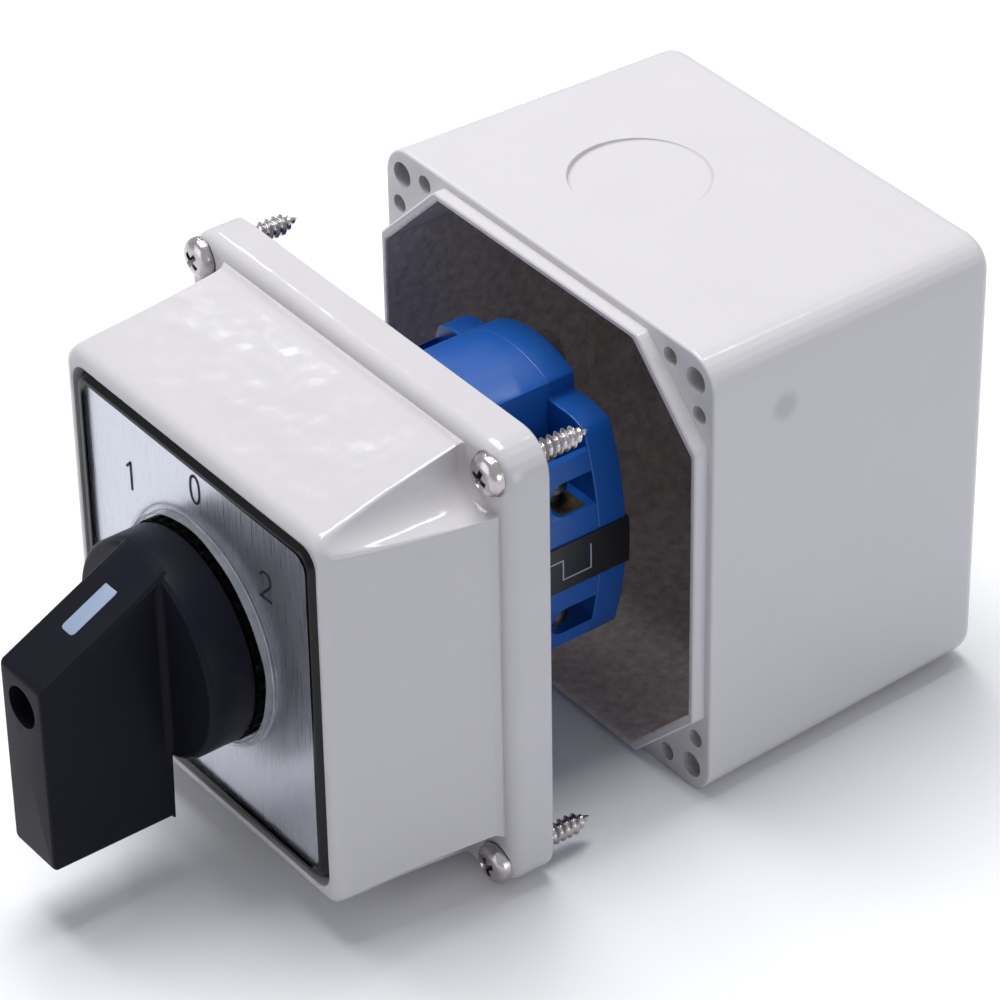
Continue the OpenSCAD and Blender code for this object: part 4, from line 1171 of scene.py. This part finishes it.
add_piece("pointer_strip", pointer_part(), "rotor", pointer_white,
          ["handle_indicator"])

# %% [markdown]
# ## The blue body and the hidden pieces
#
# The body is a stack of blue mouldings whose solids already have the right openings, so their
# meshes are copied, merged and given a fine bevel that catches the light on each edge. The
# pieces that hide inside keep their solids and only take a finish.

# %% Bevelled copies of the stack
BEVEL_W = 0.3


def bevelled_copy(name, node):
    """Merged copy of a blue solid with its flat faces joined and its edges bevelled."""
    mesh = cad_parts[node].data.copy()
    mesh.name = name
    bm = bmesh.new()
    bm.from_mesh(mesh)
    bmesh.ops.remove_doubles(bm, verts=bm.verts, dist=1e-6)
    bmesh.ops.dissolve_limit(bm, angle_limit=radians(1.0), verts=bm.verts, edges=bm.edges)
    bm.to_mesh(mesh)
    bm.free()
    mesh.shade_smooth()
    mesh.set_sharp_from_angle(angle=radians(30))
    piece = add_piece(name, mesh, "cover", blue_nylon, [node])
    bevel = piece.modifiers.new("edges", "BEVEL")
    bevel.width, bevel.segments, bevel.limit_method = BEVEL_W * MM, 2, "ANGLE"
    bevel.angle_limit, bevel.harden_normals = radians(40), True
    bevel.use_clamp_overlap = True


bevelled_copy("detent_case", "detent_housing")
bevelled_copy("rear_case", "rear_plate")
for k in (1, 2, 3):
    bevelled_copy(f"stage_case_{k}", f"stage_{k}")

# %% Lines drawn on the wiring label
def drawn_lines(material, strokes, colour):
    """Plain thin lines on a finish: a stroke colours |y - yc| < half length, |z - zc| < half height."""
    tree, shader, base = colour_of(material)
    parts = add_node(tree, "SeparateXYZ", Vector=piece_coordinates(tree)).outputs
    ink = 0.0
    for y, z, half_y, half_z in strokes:
        both = maths(tree, "MULTIPLY", maths(tree, "COMPARE", parts[1], y, half_y),
                     maths(tree, "COMPARE", parts[2], z, half_z))
        ink = maths(tree, "MAXIMUM", both, ink)
    wire(shader, Base_Color=tinted(tree, ink, base, colour))


# Each line of the diagram: distance from the label's end, height, half length, half height.
LINE = 0.14
LINE_GREY = (0.34, 0.37, 0.44)
diagram = [(15.95, 1.8, 1.85, LINE), (14.2, -0.2, LINE, 2.1), (11.25, -2.2, 3.05, LINE),
           (8.3, 0.25, LINE, 2.5)]
label_end = node_box("wiring_label")[1][1]
drawn_lines(label_black, [(label_end - back, z, a, b) for back, z, a, b in diagram], LINE_GREY)

# %% Finishes of the solids that stay
node_finishes = {
    "cover_gasket": soft_rubber, "label_plate": brushed_plate, "collar_ring": ring_black,
    "mounting_plate": dull_black, "mounting_screws": zinc_steel, "detent_springs": spring_steel,
    "through_bolts": zinc_steel, "bolt_nuts": bright_steel, "wiring_label": label_black,
    "handle_screw": zinc_steel, "switch_shaft": zinc_steel, "star_wheel": pale_nylon,
}
for k in (1, 2, 3):
    node_finishes.update({f"fixed_contacts_{k}": contact_brass, f"terminal_screws_{k}": dark_steel,
                          f"clamp_washers_{k}": dark_steel, f"cam_{k}": pale_nylon})
    for hand in ("right", "left"):
        node_finishes.update({f"follower_{k}_{hand}": pale_nylon, f"bridge_{k}_{hand}": contact_brass,
                              f"spring_{k}_{hand}": spring_steel})
for node, finish in node_finishes.items():
    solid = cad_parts[node]
    if not solid.material_slots:
        solid.data.materials.append(finish)
    for place in solid.material_slots:
        place.material = finish
print("solids with a finish:", len(node_finishes))

# %% [markdown]
# ## Floor and light
#
# The object stands on its lower side on a pale floor. A large soft lamp hangs over it, a cooler
# one stands at its right and one in front, and two small lamps behind put glints on the glossy
# edges. The world fills the rest: dim for rays that bounce, brighter for glossy ones, and white
# only for rays from the camera or through something clear. So a colour renders about as it was
# written, and the background is still white.

# %% Floor, world and lamps
floor_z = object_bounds()[0].z
bpy.ops.mesh.primitive_plane_add(size=6, location=(0, 0, floor_z))
floor = bpy.context.object
floor.name = "floor"


def floor_finish():
    """Matt floor: pale to the eye, a middle grey to the light that bounces off it."""
    material, tree, shader = new_finish("floor_finish", Roughness=0.9, Specular_IOR_Level=0.1)
    bounced = add_node(tree, "LightPath").outputs["Is Diffuse Ray"]
    wire(shader, Base_Color=tinted(tree, bounced, (0.93, 0.93, 0.93), (0.68, 0.69, 0.72)))
    return material


floor.data.materials.append(floor_finish())

world = bpy.data.worlds.new("studio")
bpy.context.scene.world = world
world.use_nodes = True
tree = world.node_tree
tree.nodes.clear()
rays = add_node(tree, "LightPath")
SKY = (0.95, 0.965, 1.0, 1)
FILL, GLEAM, WHITE = 0.31, 0.62, 1.04
fill, gleam, white = (add_node(tree, "Background", Color=SKY, Strength=level).outputs[0]
                      for level in (FILL, GLEAM, WHITE))
seen = maths(tree, "MAXIMUM", rays.outputs["Is Camera Ray"], rays.outputs["Is Transmission Ray"])
surface = fill
for factor, other in ((rays.outputs["Is Glossy Ray"], gleam), (seen, white)):
    surface = add_node(tree, "MixShader", i0=factor, i1=surface, i2=other).outputs[0]
add_node(tree, "OutputWorld", Surface=surface)


middle = Vector(CAMERA_TARGET * MM)


def soft_lamp(name, place, size, power, colour=(0.96, 0.97, 1.0)):
    """Square area lamp at a place in metres, aimed at the middle of the object."""
    lamp = bpy.data.lights.new(name, "AREA")
    lamp.shape, lamp.size, lamp.energy = "SQUARE", size, power
    lamp.color = colour
    obj = new_object(name, lamp)
    obj.location = place
    obj.rotation_euler = (middle - Vector(place)).to_track_quat("-Z", "Y").to_euler()


soft_lamp("key_lamp", (-0.26, -0.04, 1.06), 0.7, 12.0)
soft_lamp("glint_lamp", (-0.84, 0.27, 0.72), 0.06, 0.75)
soft_lamp("edge_lamp", (0.03, 0.45, 0.85), 0.05, 0.60)
soft_lamp("side_lamp", (1.0, 0.0, -0.02), 0.7, 3.9, (0.82, 0.85, 1.0))
soft_lamp("front_lamp", (-0.3, -1.1, 0.30), 0.7, 2.0, (0.86, 0.88, 1.0))

bpy.context.scene.view_settings.view_transform = "Standard"
print("lamps:", len(bpy.data.lights))
